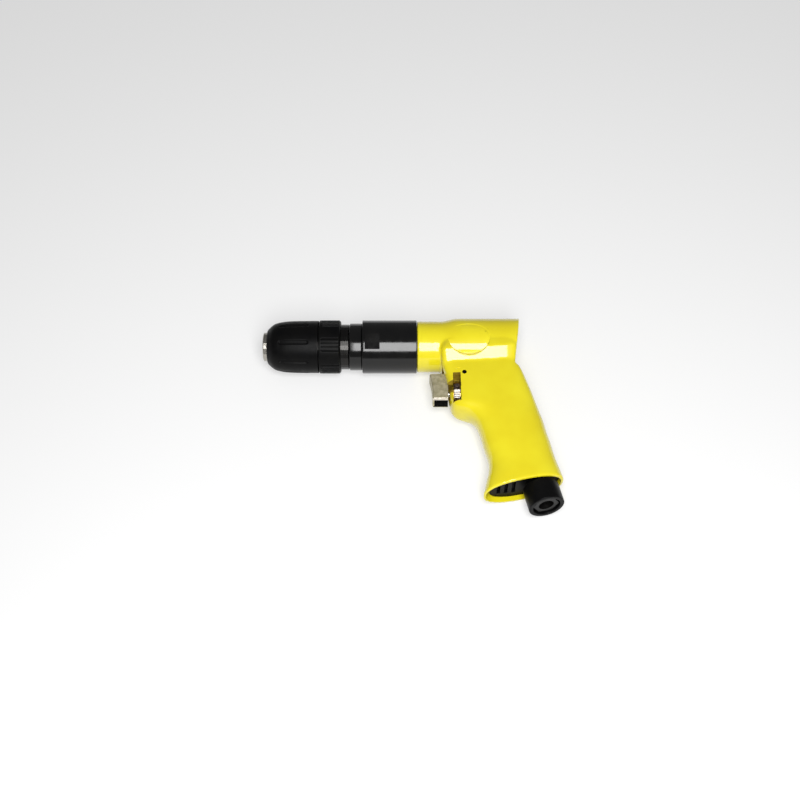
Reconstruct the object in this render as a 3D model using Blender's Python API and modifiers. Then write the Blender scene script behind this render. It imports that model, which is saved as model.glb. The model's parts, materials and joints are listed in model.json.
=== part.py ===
"""Reversible pistol-grip air drill with a keyless chuck, built as separate parts.

Tool frame: X runs along the barrel from the chuck's nose (0) to the rear, the handle hangs
towards -Y, and Z is across the tool. The finished tool lies on its side on the floor.
All lengths are in metres.
"""

import math

import bmesh
import bpy
from mathutils import Matrix, Vector

# ---- driving dimensions ----------------------------------------------------------------------
GAP = 0.0003  # running or seating clearance between neighbours
CHAMFER = 0.0006  # edges of the large turned parts
OVERCUT = 0.0010  # how far a cutter runs past the face it opens

# keyless chuck
NOSE_LENGTH = 0.0032
NOSE_RADIUS = 0.0116
CHUCK_BODY_RADIUS = 0.0165
CHUCK_BORE = 0.0069
CHUCK_WEB = 0.0037
SLEEVE_SPACE = 0.0028  # between the chuck body and the front sleeve
SLEEVE_WALL = 0.0018
SLEEVE_GROOVE = 0.0006
REAR_SLEEVE_LENGTH = 0.0173
REAR_SLEEVE_WALL = 0.0047
REAR_SLEEVE_CHAMFER = 0.0012
NECK_LENGTH = 0.0069
NECK_RADIUS = 0.0182
JAW_RADIUS = 0.0042
JAW_TILT = math.radians(17.5)
JAW_APEX = -0.0030
JAW_TIP_CLOSED = -0.0010
JAW_TRAVEL = 0.0197
JAW_LAND = 0.00075
JAW_ROOM = 0.00086  # between a drawn-back jaw and the front sleeve
JAW_END_GAP = 0.0005
WEDGE_TURN = math.radians(60)
NUT_START = 0.0185
NUT_WIDTH = 0.0050
SCREW_RADIUS = 0.0030
SCREW_LENGTH = 0.0165
SCREW_HEAD_RADIUS = 0.0050
SCREW_HEAD_LENGTH = 0.0040
SCREW_SOCKET_RADIUS = 0.0022
SCREW_SOCKET_DEPTH = 0.0025

# spindle, bearings and gear case
SPINDLE_THREAD_RADIUS = 0.00635
SPINDLE_RADIUS = 0.0075
SHOULDER_RADIUS = 0.0095
SHOULDER_LENGTH = 0.0020
BEARING_RADIUS = 0.0140
BEARING_WIDTH = 0.0070
BEARING_LIP = 0.0020
BEARING_SPACE = 0.0025  # between the rear bearing and the planet carrier
BEARING_GROOVE = 0.0006
SPACER_WALL = 0.0016
CAP_LENGTH = 0.0099
CAP_RADIUS = 0.0190
CAP_CHAMFER = 0.0010
CAP_WEB = 0.0016
CAP_SPIGOT_WALL = 0.0017
CAP_SPIGOT_LENGTH = 0.0037
GEARCASE_LENGTH = 0.0437
GEARCASE_WALL = 0.0022
FLAT_DEPTH = 0.0012
FLAT_LENGTH = 0.0118
FLAT_INSET = 0.0022
FLAT_TURN = math.radians(24)

# two-stage planetary gearing
MODULE = 0.0007
SUN_TEETH = 12
PLANET_TEETH = 18
RING_TEETH = SUN_TEETH + 2 * PLANET_TEETH
PRESSURE_ANGLE = math.radians(25)
ADDENDUM = 0.9 * MODULE
DEDENDUM = 1.15 * MODULE
BACKLASH = 0.00012
RING_WALL = 0.0014
PLANETS = 3
PLANET_WIDTH_1 = 0.0052
PLANET_WIDTH_2 = 0.0065
CARRIER_WIDTH_1 = 0.0028
CARRIER_WIDTH_2 = 0.0035
CARRIER_ROOM = 0.0010  # between a carrier's rim and the ring gear's teeth
PIN_RADIUS = 0.0017
PIN_CHAMFER = 0.0002

# vane motor
LINER_WALL = 0.0013
LINER_OFFSET = 0.0014
LINER_PORT_WIDTH = 0.0060
LINER_PORT_INSET = 0.0120
MOTOR_LENGTH = 0.0520
END_PLATE_WIDTH = 0.0075
ROTOR_SHAFT_RADIUS = 0.0040
ROTOR_BEARING_RADIUS = 0.0095
ROTOR_BEARING_WIDTH = 0.0058
PINION_ROOT = 0.0004
VANES = 5
VANE_THICKNESS = 0.0016
VANE_DEPTH = 0.0060

# housing
HOUSING_LENGTH = 0.0834
COLLAR_WALL = 0.0032
COLLAR_LENGTH = 0.0187
RISE_LENGTH = 0.0145
TOP_WALL = 0.0055
SIDE_WALL = 0.0045
SPIGOT_WALL = 0.0015
SPIGOT_LENGTH = 0.0058
REAR_SLANT = math.radians(7.2)
REAR_RECESS = 0.0060
REAR_LEDGE = 0.0040
HANDLE_WALL = 0.0021
CAVITY_TOP = -0.037

# trigger and valves, placed from the front of the housing and from the valve axis
VALVE_DROP = 0.0470  # valve axis below the barrel axis
TRIGGER_FRONT = 0.0103
TRIGGER_LENGTH = 0.0138
TRIGGER_ABOVE = 0.0222
TRIGGER_BELOW = 0.0088
TRIGGER_HALF_WIDTH = 0.0065
TRIGGER_TRAVEL = 0.0034
TRIGGER_CORNER = 0.0010
STEM_RADIUS = 0.0020
STEM_LENGTH = 0.0273
STEM_SEAT = 0.0060
STEM_SOCKET = 0.0060
POPPET_LENGTH = 0.0040
REVERSE_RADIUS = 0.0095
REVERSE_LENGTH = 0.0056
REVERSE_PORT = 0.0024
LEVER_TILT = math.radians(33.5)
LEVER_REACH = 0.0169
LEVER_BASE = 0.0014
LEVER_KNURL = 0.0007
LEVER_SCREW_RADIUS = 0.0019
LEVER_SCREW_HEIGHT = 0.0016
SLOT_ABOVE = 0.0104
SLOT_BELOW = 0.0140
SLOT_DEPTH_Z = 0.0016
SLOT_STEP = 0.0052
SLOT_STEP_Z = 0.0145
SLOT_ROOM_Z = 0.0110
NOTCH_ABOVE = 0.0045
NOTCH_BELOW = 0.0035
BUSHING_RADIUS = 0.0070
BUSHING_FLANGE_WIDTH = 0.0056
BUSHING_LENGTH = 0.0398
BUSHING_BORE = 0.0043
BUSHING_PORT = 0.0044
CROSS_PIN_RADIUS = 0.0012
CROSS_PIN_LENGTH = 0.0270
SPRING_TURNS = 4
SPRING_WIRE = 0.00035

# inlet, at the lower end of the handle
HANDLE_TILT = math.radians(12.6)
INLET_END_X = 0.0952
INLET_END_Y = -0.1020
INLET_START = 0.0015
INLET_RADIUS = 0.0080
INLET_BORE = 0.0057
INLET_THREAD_LENGTH = 0.0130
INLET_TUBE_BORE = 0.0040
INLET_LENGTH = 0.0725
HEX_HALF_WIDTH = 0.0085
HEX_LENGTH = 0.0062
O_RING_WIRE = 0.0006
O_RING_DEPTH = 0.0012
O_RING_SPACE = 0.0020
SCREEN_WALL = 0.0010
SCREEN_LENGTH = 0.0046
SCREEN_TIP = 0.0016
PASSAGE_RADIUS = 0.0032
DUCT_RADIUS = 0.0024
DUCT_LENGTH = 0.0880
DUCT_SPREAD = 0.0106
DEFLECTOR_LENGTH = 0.0215
DEFLECTOR_WALL = 0.0016
DEFLECTOR_CHAMBER = 0.0021
DEFLECTOR_FLOOR = 0.0020
DEFLECTOR_CHAMFER = 0.0012
DEFLECTOR_WINDOW_TURN = math.radians(-40)
DEFLECTOR_WINDOW_WIDTH = 0.0110
PLATE_THICKNESS = 0.0030
OUTLETS = 3
OUTLET_WIDTH = 0.0028
OUTLET_LENGTH = 0.0150
FELT_THICKNESS = 0.0160

# Handle sections from the barrel down to the mouth, in metres from the housing's front and the
# valve axis: front edge (x, y), rear edge (x, y), half thickness, squareness of the corners.
HANDLE_SECTIONS = [
    (0.0187, 0.0520, 0.0796, 0.0520, 0.0180, 5.0),
    (0.0190, 0.0350, 0.0786, 0.0350, 0.0206, 5.0),
    (0.0197, 0.0290, 0.0783, 0.0290, 0.0196, 5.0),
    (0.0204, 0.0240, 0.0793, 0.0240, 0.0174, 5.0),
    (0.0212, 0.0190, 0.0815, 0.0190, 0.0158, 5.0),
    (0.0224, 0.0100, 0.0849, 0.0120, 0.0152, 4.6),
    (0.0243, -0.0030, 0.0894, -0.0010, 0.0150, 4.2),
    (0.0257, -0.0135, 0.0919, -0.0095, 0.0149, 3.8),
    (0.0290, -0.0180, 0.0935, -0.0150, 0.0148, 3.4),
    (0.0385, -0.0215, 0.0955, -0.0220, 0.0148, 3.0),
    (0.0445, -0.0285, 0.0975, -0.0285, 0.0148, 2.8),
    (0.0475, -0.0380, 0.0992, -0.0380, 0.0149, 2.7),
    (0.0503, -0.0510, 0.1019, -0.0490, 0.0151, 2.6),
    (0.0531, -0.0625, 0.1039, -0.0600, 0.0153, 2.6),
    (0.0530, -0.0720, 0.1060, -0.0675, 0.0155, 2.5),
    (0.0508, -0.0820, 0.1078, -0.0735, 0.0160, 2.4),
    (0.0481, -0.0938, 0.1093, -0.0801, 0.0165, 2.3),
]

ROUND = 32  # sides of a large round part
SMALL_ROUND = 16  # sides of a small one
LOFT_POINTS = 28

# ---- radii and heights that follow from the sizes above ----------------------------------
SLEEVE_BORE = CHUCK_BODY_RADIUS + SLEEVE_SPACE
SLEEVE_RADIUS = SLEEVE_BORE + SLEEVE_WALL
REAR_SLEEVE_RADIUS = CHUCK_BODY_RADIUS + GAP + REAR_SLEEVE_WALL
PLANET_ORBIT = MODULE * (SUN_TEETH + PLANET_TEETH) / 2
RING_PITCH = MODULE * RING_TEETH / 2
RING_RADIUS = RING_PITCH + DEDENDUM + RING_WALL
GEARCASE_BORE = RING_RADIUS + GAP
GEARCASE_RADIUS = GEARCASE_BORE + GEARCASE_WALL
CARRIER_RADIUS = RING_PITCH - ADDENDUM - CARRIER_ROOM
SPIGOT_RADIUS = GEARCASE_BORE - GAP
MOTOR_BORE = SPIGOT_RADIUS - SPIGOT_WALL
LINER_RADIUS = MOTOR_BORE - GAP
LINER_BORE = LINER_RADIUS - LINER_OFFSET - LINER_WALL
ROTOR_RADIUS = LINER_BORE - LINER_OFFSET - GAP
COLLAR_RADIUS = MOTOR_BORE + COLLAR_WALL
BODY_HALF_HEIGHT = MOTOR_BORE + TOP_WALL
BODY_HALF_WIDTH = MOTOR_BORE + SIDE_WALL
TRIGGER_TOP = VALVE_DROP - TRIGGER_ABOVE
TRIGGER_BOTTOM = VALVE_DROP + TRIGGER_BELOW
LEVER_SHELF = REVERSE_RADIUS + GAP + LEVER_BASE
BUSHING_FLANGE_RADIUS = LEVER_SHELF
DEFLECTOR_RADIUS = INLET_RADIUS + GAP + 2 * DEFLECTOR_WALL + DEFLECTOR_CHAMBER

# ---- stations along the barrel ---------------------------------------------------------------
JAW_START = (JAW_TIP_CLOSED - JAW_APEX) / math.cos(JAW_TILT) + JAW_TRAVEL
JAW_END = (SLEEVE_BORE - JAW_ROOM - JAW_RADIUS * math.cos(JAW_TILT)) / math.sin(JAW_TILT)
SLEEVE_END = (
    JAW_APEX + JAW_END * math.cos(JAW_TILT) + JAW_RADIUS * math.sin(JAW_TILT) + JAW_END_GAP
)
CHUCK_BORE_DEPTH = SLEEVE_END + 0.0018
THREAD_START = CHUCK_BORE_DEPTH + CHUCK_WEB
REAR_SLEEVE_START = SLEEVE_END + SLEEVE_GROOVE
REAR_SLEEVE_END = REAR_SLEEVE_START + REAR_SLEEVE_LENGTH
NECK_END = REAR_SLEEVE_END + NECK_LENGTH
CAP_START = NECK_END + GAP
CAP_END = CAP_START + CAP_LENGTH
GEARCASE_START = CAP_END + GAP
GEARCASE_END = GEARCASE_START + GEARCASE_LENGTH
HOUSING_START = GEARCASE_END + GAP
SPIGOT_START = GEARCASE_END - SPIGOT_LENGTH
HOUSING_END = HOUSING_START + HOUSING_LENGTH

RING_END = SPIGOT_START - GAP
PLANET_1_END = RING_END - GAP
PLANET_1_START = PLANET_1_END - PLANET_WIDTH_1
CARRIER_1_START = PLANET_1_START - GAP - CARRIER_WIDTH_1
PLANET_2_END = CARRIER_1_START - 2 * GAP
PLANET_2_START = PLANET_2_END - PLANET_WIDTH_2
CARRIER_2_START = PLANET_2_START - GAP - CARRIER_WIDTH_2
RING_START = CARRIER_2_START + GAP
CAP_BEARING_START = CAP_START + CAP_WEB
REAR_BEARING_START = CARRIER_2_START - BEARING_SPACE - BEARING_WIDTH

FRONT_PLATE_START = SPIGOT_START + 0.0012
LINER_START = FRONT_PLATE_START + END_PLATE_WIDTH + GAP
LINER_END = LINER_START + MOTOR_LENGTH
REAR_PLATE_START = LINER_END + GAP
REAR_PLATE_END = REAR_PLATE_START + END_PLATE_WIDTH
MOTOR_BORE_END = REAR_PLATE_END + GAP

VALVE_Y = -VALVE_DROP
TRIGGER_START = HOUSING_START + TRIGGER_FRONT
TRIGGER_END = TRIGGER_START + TRIGGER_LENGTH
REVERSE_START = TRIGGER_END + TRIGGER_TRAVEL + 2 * GAP
REVERSE_END = REVERSE_START + REVERSE_LENGTH
BUSHING_START = REVERSE_END + GAP
BUSHING_END = BUSHING_START + BUSHING_LENGTH
CROSS_PIN_X = BUSHING_START + BUSHING_FLANGE_WIDTH / 2
CROSS_PIN_Y = VALVE_Y + BUSHING_FLANGE_RADIUS
STEM_END = BUSHING_START + STEM_LENGTH

INLET_END = Vector((HOUSING_START + INLET_END_X, VALVE_Y + INLET_END_Y, 0))
INLET_UP = Vector((-math.sin(HANDLE_TILT), math.cos(HANDLE_TILT), 0))
MOUTH_X, MOUTH_Y = HANDLE_SECTIONS[-1][:2]
MOUTH_HEIGHT = Vector((MOUTH_X - INLET_END_X, MOUTH_Y - INLET_END_Y, 0)).dot(INLET_UP)
PLATE_START = DEFLECTOR_LENGTH + GAP
FELT_START = PLATE_START + PLATE_THICKNESS + GAP


# ---- scene helpers ---------------------------------------------------------------------------
def clear_scene():
    for old in list(bpy.data.objects):
        bpy.data.objects.remove(old, do_unlink=True)


def new_collection(name):
    collection = bpy.data.collections.new(name)
    bpy.context.scene.collection.children.link(collection)
    return collection


def new_material(name, colour, roughness, metallic):
    material = bpy.data.materials.new(name)
    material.use_nodes = True
    shader = material.node_tree.nodes["Principled BSDF"]
    shader.inputs["Base Color"].default_value = (*colour, 1)
    shader.inputs["Roughness"].default_value = roughness
    shader.inputs["Metallic"].default_value = metallic
    return material


def axis_empty(name, parent, location=(0, 0, 0), direction=None):
    """An empty whose local Z runs along direction, in its parent's frame.

    On the barrel and valve axes its X is the tool's +Y and its Y the tool's +Z. On the inlet
    axis its X points to the front of the tool.
    """
    empty = bpy.data.objects.new(name, None)
    PARTS.objects.link(empty)
    empty.parent = parent
    empty.location = location
    if direction is not None:
        empty.rotation_euler = Vector(direction).to_track_quat("Z", "Y").to_euler()
    return empty


def new_object(name, mesh, parent, material=None, smooth=True):
    """A part of the drill, or a cutter where no material is given."""
    obj = bpy.data.objects.new(name, mesh)
    obj.parent = parent
    if material is None:
        CUTTERS.objects.link(obj)
        obj.hide_render = True
        obj.display_type = "WIRE"
        return obj
    PARTS.objects.link(obj)
    mesh.materials.append(material)
    if smooth and len(mesh.polygons):
        mesh.shade_smooth()
        mesh.set_sharp_from_angle(angle=math.radians(35))
    return obj


def cut(obj, cutter, operation="DIFFERENCE"):
    boolean = obj.modifiers.new(cutter.name, "BOOLEAN")
    boolean.operation = operation
    boolean.solver = "EXACT"
    boolean.object = cutter


# ---- shape helpers ---------------------------------------------------------------------------
def turned(name, profile, parent, material=None, sides=ROUND):
    """A solid of revolution about the parent's Z.

    The profile holds (z, radius) points down the outside from the far end to the near one, then
    back along the bore. A profile that starts on the axis is a solid without a through bore.
    """
    mesh = bpy.data.meshes.new(name)
    points = [(radius, 0, z) for z, radius in profile]
    edges = [(i, i + 1) for i in range(len(points) - 1)]
    if profile[0][1] > 0:
        edges.append((len(points) - 1, 0))
    mesh.from_pydata(points, edges, [])
    obj = new_object(name, mesh, parent, material, smooth=False)
    screw = obj.modifiers.new("turn", "SCREW")
    screw.axis = "Z"
    screw.steps = sides
    screw.render_steps = sides
    screw.use_merge_vertices = True
    screw.merge_threshold = 0.00001
    screw.use_smooth_shade = material is not None
    return obj


def ring_profile(start, end, outer, inner):
    return [(end, outer), (start, outer), (start, inner), (end, inner)]


def rod_profile(start, end, radius):
    return [(end, 0), (end, radius), (start, radius), (start, 0)]


def tapered_rod_profile(start, end, radius, chamfer):
    return [
        (end, 0),
        (end, radius - chamfer),
        (end - chamfer, radius),
        (start + chamfer, radius),
        (start, radius - chamfer),
        (start, 0),
    ]


def box(name, corner, opposite, parent, material=None, bevel=0.0):
    """A box between two corners, with rounded edges where a bevel is given."""
    low, high = Vector(corner), Vector(opposite)
    size = high - low
    shape = bmesh.new()
    place = Matrix.Translation((low + high) / 2) @ Matrix.Diagonal((*size, 1))
    bmesh.ops.create_cube(shape, size=1, matrix=place)
    mesh = bpy.data.meshes.new(name)
    shape.to_mesh(mesh)
    shape.free()
    obj = new_object(name, mesh, parent, material)
    if bevel:
        edge = obj.modifiers.new("edges", "BEVEL")
        edge.width = bevel
        edge.segments = 2
    return obj


def extruded(name, outlines, start, end, parent, material=None):
    """Closed outlines in the parent's XY plane, filled with their holes and extruded along Z."""
    curve = bpy.data.curves.new(name, "CURVE")
    curve.dimensions = "2D"
    curve.fill_mode = "BOTH"
    curve.extrude = (end - start) / 2
    for outline in outlines:
        spline = curve.splines.new("POLY")
        spline.points.add(len(outline) - 1)
        for point, (x, y) in zip(spline.points, outline):
            point.co = (x, y, 0, 1)
        spline.use_cyclic_u = True
    guide = bpy.data.objects.new(name + "_outline", curve)
    CUTTERS.objects.link(guide)
    guide.location = (0, 0, (start + end) / 2)
    bpy.context.view_layer.update()
    evaluated = guide.evaluated_get(bpy.context.evaluated_depsgraph_get())
    mesh = bpy.data.meshes.new_from_object(evaluated)
    mesh.transform(guide.matrix_world)
    bpy.data.objects.remove(guide)
    bpy.data.curves.remove(curve)
    shape = bmesh.new()
    shape.from_mesh(mesh)
    bmesh.ops.remove_doubles(shape, verts=shape.verts, dist=0.000001)
    bmesh.ops.recalc_face_normals(shape, faces=shape.faces)
    shape.to_mesh(mesh)
    shape.free()
    mesh.name = name
    return new_object(name, mesh, parent, material)


def circle(radius, sides=SMALL_ROUND, centre=(0, 0)):
    turns = [2 * math.pi * i / sides for i in range(sides)]
    return [
        (centre[0] + radius * math.cos(t), centre[1] + radius * math.sin(t))
        for t in turns
    ]


def involute(radius, base):
    if radius <= base:
        return 0.0
    roll = math.sqrt((radius / base) ** 2 - 1)
    return roll - math.atan(roll)


def gear_outline(teeth, root, tip, backlash, turn):
    """A gear's outline, with a tooth's centre at the angle turn and straight chords on the flanks."""
    pitch = MODULE * teeth / 2
    base = pitch * math.cos(PRESSURE_ANGLE)
    thick = math.pi / (2 * teeth) - backlash / (2 * pitch) + involute(pitch, base)
    flank = [
        (r, thick - involute(r, base))
        for r in (root, max(root + 0.3 * MODULE, (root + tip) / 2), tip)
    ]
    points = []
    for tooth in range(teeth):
        middle = turn + 2 * math.pi * tooth / teeth
        around = [(r, middle - half) for r, half in flank]
        around += [(r, middle + half) for r, half in reversed(flank)]
        points += [(r * math.cos(a), r * math.sin(a)) for r, a in around]
    return points


def outer_gear(teeth, turn):
    pitch = MODULE * teeth / 2
    return gear_outline(teeth, pitch - DEDENDUM, pitch + ADDENDUM, BACKLASH, turn)


def ellipse_ring(centre, half_long, half_wide, squareness, points=LOFT_POINTS):
    """Points round a rounded rectangle, from an ellipse (2) to a box (large squareness)."""
    power = 2 / squareness
    ring = []
    for i in range(points):
        turn = 2 * math.pi * i / points
        c, s = math.cos(turn), math.sin(turn)
        long = math.copysign(abs(c) ** power, c)
        wide = math.copysign(abs(s) ** power, s)
        ring.append(centre + half_long * long + half_wide * wide)
    return ring


def lofted(name, rings, parent, material=None):
    """A closed skin over rings that hold the same number of points."""
    shape = bmesh.new()
    rows = [[shape.verts.new(point) for point in ring] for ring in rings]
    count = len(rows[0])
    for one, other in zip(rows, rows[1:]):
        for i in range(count):
            j = (i + 1) % count
            shape.faces.new((one[i], one[j], other[j], other[i]))
    shape.faces.new(rows[0])
    shape.faces.new(rows[-1])
    bmesh.ops.recalc_face_normals(shape, faces=shape.faces)
    mesh = bpy.data.meshes.new(name)
    shape.to_mesh(mesh)
    shape.free()
    return new_object(name, mesh, parent, material)


def handle_ring(section, inset=0.0):
    front_x, front_y, rear_x, rear_y, half, squareness = section
    front = Vector((HOUSING_START + front_x, VALVE_Y + front_y, 0))
    rear = Vector((HOUSING_START + rear_x, VALVE_Y + rear_y, 0))
    along = rear - front
    half_long = along.normalized() * (along.length / 2 - inset)
    return ellipse_ring((front + rear) / 2, half_long, Vector((0, 0, half - inset)), squareness)


def height_over_inlet(x, y):
    return (Vector((HOUSING_START + x, VALVE_Y + y, 0)) - INLET_END).dot(INLET_UP)


def edge_at(height, column):
    """A handle edge's point and half thickness at a height above the inlet's end, column 0 or 2."""
    rows = [(height_over_inlet(s[column], s[column + 1]), s) for s in HANDLE_SECTIONS]
    for (low, below), (high, above) in zip(rows[:0:-1], rows[-2::-1]):
        if height <= high or above is HANDLE_SECTIONS[0]:
            share = (height - low) / (high - low)
            mixed = [a + share * (b - a) for a, b in zip(below, above)]
            return mixed[column], mixed[column + 1], mixed[4], mixed[5]


def section_at(height):
    """The handle's section square to the inlet axis, at a height above the inlet's end."""
    front_x, front_y, half, squareness = edge_at(height, 0)
    rear_x, rear_y, other_half, _ = edge_at(height, 2)
    return front_x, front_y, rear_x, rear_y, min(half, other_half), squareness


# ---- the chuck -------------------------------------------------------------------------------
def jaw_axis_radius(x):
    return (x - JAW_APEX) * math.tan(JAW_TILT)


def jaw_frame(name, index, parent):
    """An empty at the jaw axis's apex whose Z runs back along the jaw's guide hole."""
    turn = 2 * math.pi * index / 3
    outward = Vector((math.cos(turn), math.sin(turn), 0))
    direction = Vector((0, 0, math.cos(JAW_TILT))) + outward * math.sin(JAW_TILT)
    empty = axis_empty(name, parent, (0, 0, JAW_APEX))
    sideways = Vector((0, 0, 1)).cross(outward)
    up = direction.cross(sideways)
    columns = Matrix((-up, sideways, direction)).transposed()
    empty.rotation_euler = columns.to_euler()
    return empty


def make_chuck(axis):
    groove = jaw_axis_radius(NUT_START) + JAW_RADIUS + GAP
    body = turned(
        "chuck_body",
        [
            (NECK_END, 0),
            (NECK_END, NECK_RADIUS - CHAMFER),
            (NECK_END - CHAMFER, NECK_RADIUS),
            (REAR_SLEEVE_END + GAP, NECK_RADIUS),
            (REAR_SLEEVE_END + GAP, CHUCK_BODY_RADIUS),
            (NUT_START + NUT_WIDTH + GAP, CHUCK_BODY_RADIUS),
            (NUT_START + NUT_WIDTH + GAP, groove),
            (NUT_START - GAP, groove),
            (NUT_START - GAP, CHUCK_BODY_RADIUS - CHAMFER),
            (NOSE_LENGTH + 0.0110, CHUCK_BODY_RADIUS - 0.0010),
            (NOSE_LENGTH + 0.0030, NOSE_RADIUS),
            (CHAMFER, NOSE_RADIUS),
            (0, NOSE_RADIUS - CHAMFER),
            (0, CHUCK_BORE + CHAMFER),
            (CHAMFER, CHUCK_BORE),
            (CHUCK_BORE_DEPTH, CHUCK_BORE),
            (CHUCK_BORE_DEPTH, 0),
        ],
        axis,
        STEEL,
    )
    thread = turned(
        "cut_chuck_thread",
        rod_profile(THREAD_START, NECK_END + OVERCUT, SPINDLE_THREAD_RADIUS + GAP),
        axis,
        sides=SMALL_ROUND,
    )
    screw_hole = turned(
        "cut_chuck_screw",
        rod_profile(
            CHUCK_BORE_DEPTH - OVERCUT, THREAD_START + OVERCUT, SCREW_RADIUS + GAP
        ),
        axis,
        sides=SMALL_ROUND,
    )
    cut(body, thread)
    cut(body, screw_hole)
    for index in range(3):
        frame = jaw_frame(f"guide_{index + 1}", index, axis)
        hole = turned(
            f"cut_guide_{index + 1}",
            rod_profile(0, JAW_END + GAP, JAW_RADIUS + GAP / 2),
            frame,
            sides=SMALL_ROUND,
        )
        cut(body, hole)

    turned(
        "rear_sleeve",
        [
            (REAR_SLEEVE_END, REAR_SLEEVE_RADIUS - REAR_SLEEVE_CHAMFER),
            (REAR_SLEEVE_END - REAR_SLEEVE_CHAMFER, REAR_SLEEVE_RADIUS),
            (REAR_SLEEVE_START + CHAMFER, REAR_SLEEVE_RADIUS),
            (REAR_SLEEVE_START, REAR_SLEEVE_RADIUS - CHAMFER),
            (REAR_SLEEVE_START, CHUCK_BODY_RADIUS + GAP),
            (REAR_SLEEVE_END, CHUCK_BODY_RADIUS + GAP),
        ],
        axis,
        BLACK_PLASTIC,
    )

    seat = CHUCK_BORE_DEPTH - GAP
    head = seat - SCREW_HEAD_LENGTH
    turned(
        "chuck_screw",
        [
            (seat + SCREW_LENGTH, 0),
            (seat + SCREW_LENGTH, SCREW_RADIUS),
            (seat, SCREW_RADIUS),
            (seat, SCREW_HEAD_RADIUS),
            (head, SCREW_HEAD_RADIUS),
            (head, SCREW_SOCKET_RADIUS),
            (head + SCREW_SOCKET_DEPTH, SCREW_SOCKET_RADIUS),
            (head + SCREW_SOCKET_DEPTH, 0),
        ],
        axis,
        DARK_STEEL,
        sides=SMALL_ROUND,
    )


def make_chuck_sleeve(axis):
    lip = NOSE_RADIUS + GAP
    turned(
        "front_sleeve",
        [
            (SLEEVE_END, SLEEVE_RADIUS - CHAMFER),
            (SLEEVE_END - CHAMFER, SLEEVE_RADIUS),
            (NOSE_LENGTH + 0.0160, SLEEVE_RADIUS - 0.0005),
            (NOSE_LENGTH + 0.0110, SLEEVE_RADIUS - 0.0012),
            (NOSE_LENGTH + 0.0055, SLEEVE_RADIUS - 0.0035),
            (NOSE_LENGTH + 0.0012, lip + 0.0025),
            (NOSE_LENGTH, lip + 0.0010),
            (NOSE_LENGTH, lip),
            (NOSE_LENGTH + 0.0028, lip),
            (NOSE_LENGTH + 0.0110, CHUCK_BODY_RADIUS),
            (NUT_START - 0.0020, SLEEVE_BORE),
            (SLEEVE_END, SLEEVE_BORE),
        ],
        axis,
        BLACK_PLASTIC,
    )
    clear = JAW_RADIUS / math.cos(JAW_TILT) + GAP
    nut_end = NUT_START + NUT_WIDTH
    turned(
        "jaw_nut",
        [
            (nut_end, SLEEVE_BORE - GAP),
            (NUT_START, SLEEVE_BORE - GAP),
            (NUT_START, jaw_axis_radius(NUT_START) + clear),
            (nut_end, jaw_axis_radius(nut_end) + clear),
        ],
        axis,
        BRASS,
    )


def make_jaw(index, axis):
    """A jaw drawn back into the open chuck: a round pin whose gripping side is a wedge."""
    frame = jaw_frame(f"jaw_{index + 1}_axis", index, axis)
    jaw = turned(
        f"jaw_{index + 1}",
        rod_profile(JAW_START, JAW_END, JAW_RADIUS),
        frame,
        STEEL,
        sides=SMALL_ROUND,
    )
    turn = 2 * math.pi * index / 3
    outward = Vector((math.cos(turn), math.sin(turn), 0))
    sideways = Vector((0, 0, 1)).cross(outward)
    slide = Vector((0, 0, math.cos(JAW_TILT))) + outward * math.sin(JAW_TILT)
    drawn_back = slide * JAW_TRAVEL

    def wedge_point(out, side):
        return outward * out + sideways * side

    reach = JAW_LAND + 2 * SLEEVE_RADIUS
    land = JAW_LAND * math.tan(WEDGE_TURN) - GAP * math.sin(WEDGE_TURN)
    spread = land + 2 * SLEEVE_RADIUS * math.tan(WEDGE_TURN)
    section = [
        wedge_point(JAW_LAND, -land),
        wedge_point(JAW_LAND, land),
        wedge_point(reach, spread),
        wedge_point(reach, -spread),
    ]
    rings = [
        [drawn_back + point + Vector((0, 0, z)) for point in section]
        for z in (-SLEEVE_END, 2 * SLEEVE_END)
    ]
    cut(jaw, lofted(f"cut_jaw_{index + 1}", rings, axis), "INTERSECT")


# ---- spindle, bearings and gear case ---------------------------------------------------------
def bearing(name, start, width, outer, inner, axis):
    """A ball bearing as one ring, its races marked off by a groove in the front face."""
    middle = (outer + inner) / 2
    half = (outer - inner) / 6
    turned(
        name,
        [
            (start + width, outer),
            (start, outer),
            (start, middle + half),
            (start + BEARING_GROOVE, middle + half),
            (start + BEARING_GROOVE, middle - half),
            (start, middle - half),
            (start, inner),
            (start + width, inner),
        ],
        axis,
        STEEL,
        sides=24,
    )


def pin_places():
    for index in range(PLANETS):
        turn = 2 * math.pi * index / PLANETS
        yield index, (PLANET_ORBIT * math.cos(turn), PLANET_ORBIT * math.sin(turn))


def make_pins(stage, plate, plate_start, pin_end, axis):
    """The planet pins of one stage, each in a hole through its carrier plate."""
    for index, (x, y) in pin_places():
        seat = axis_empty(f"pin_seat_{stage}_{index + 1}", axis, (x, y, 0))
        hole = turned(
            f"cut_pin_{stage}_{index + 1}",
            rod_profile(plate_start - OVERCUT, pin_end, PIN_RADIUS + GAP),
            seat,
            sides=12,
        )
        cut(plate, hole)
        turned(
            f"planet_pin_{stage}_{index + 1}",
            tapered_rod_profile(plate_start, pin_end, PIN_RADIUS, PIN_CHAMFER),
            seat,
            STEEL,
            sides=12,
        )


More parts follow.
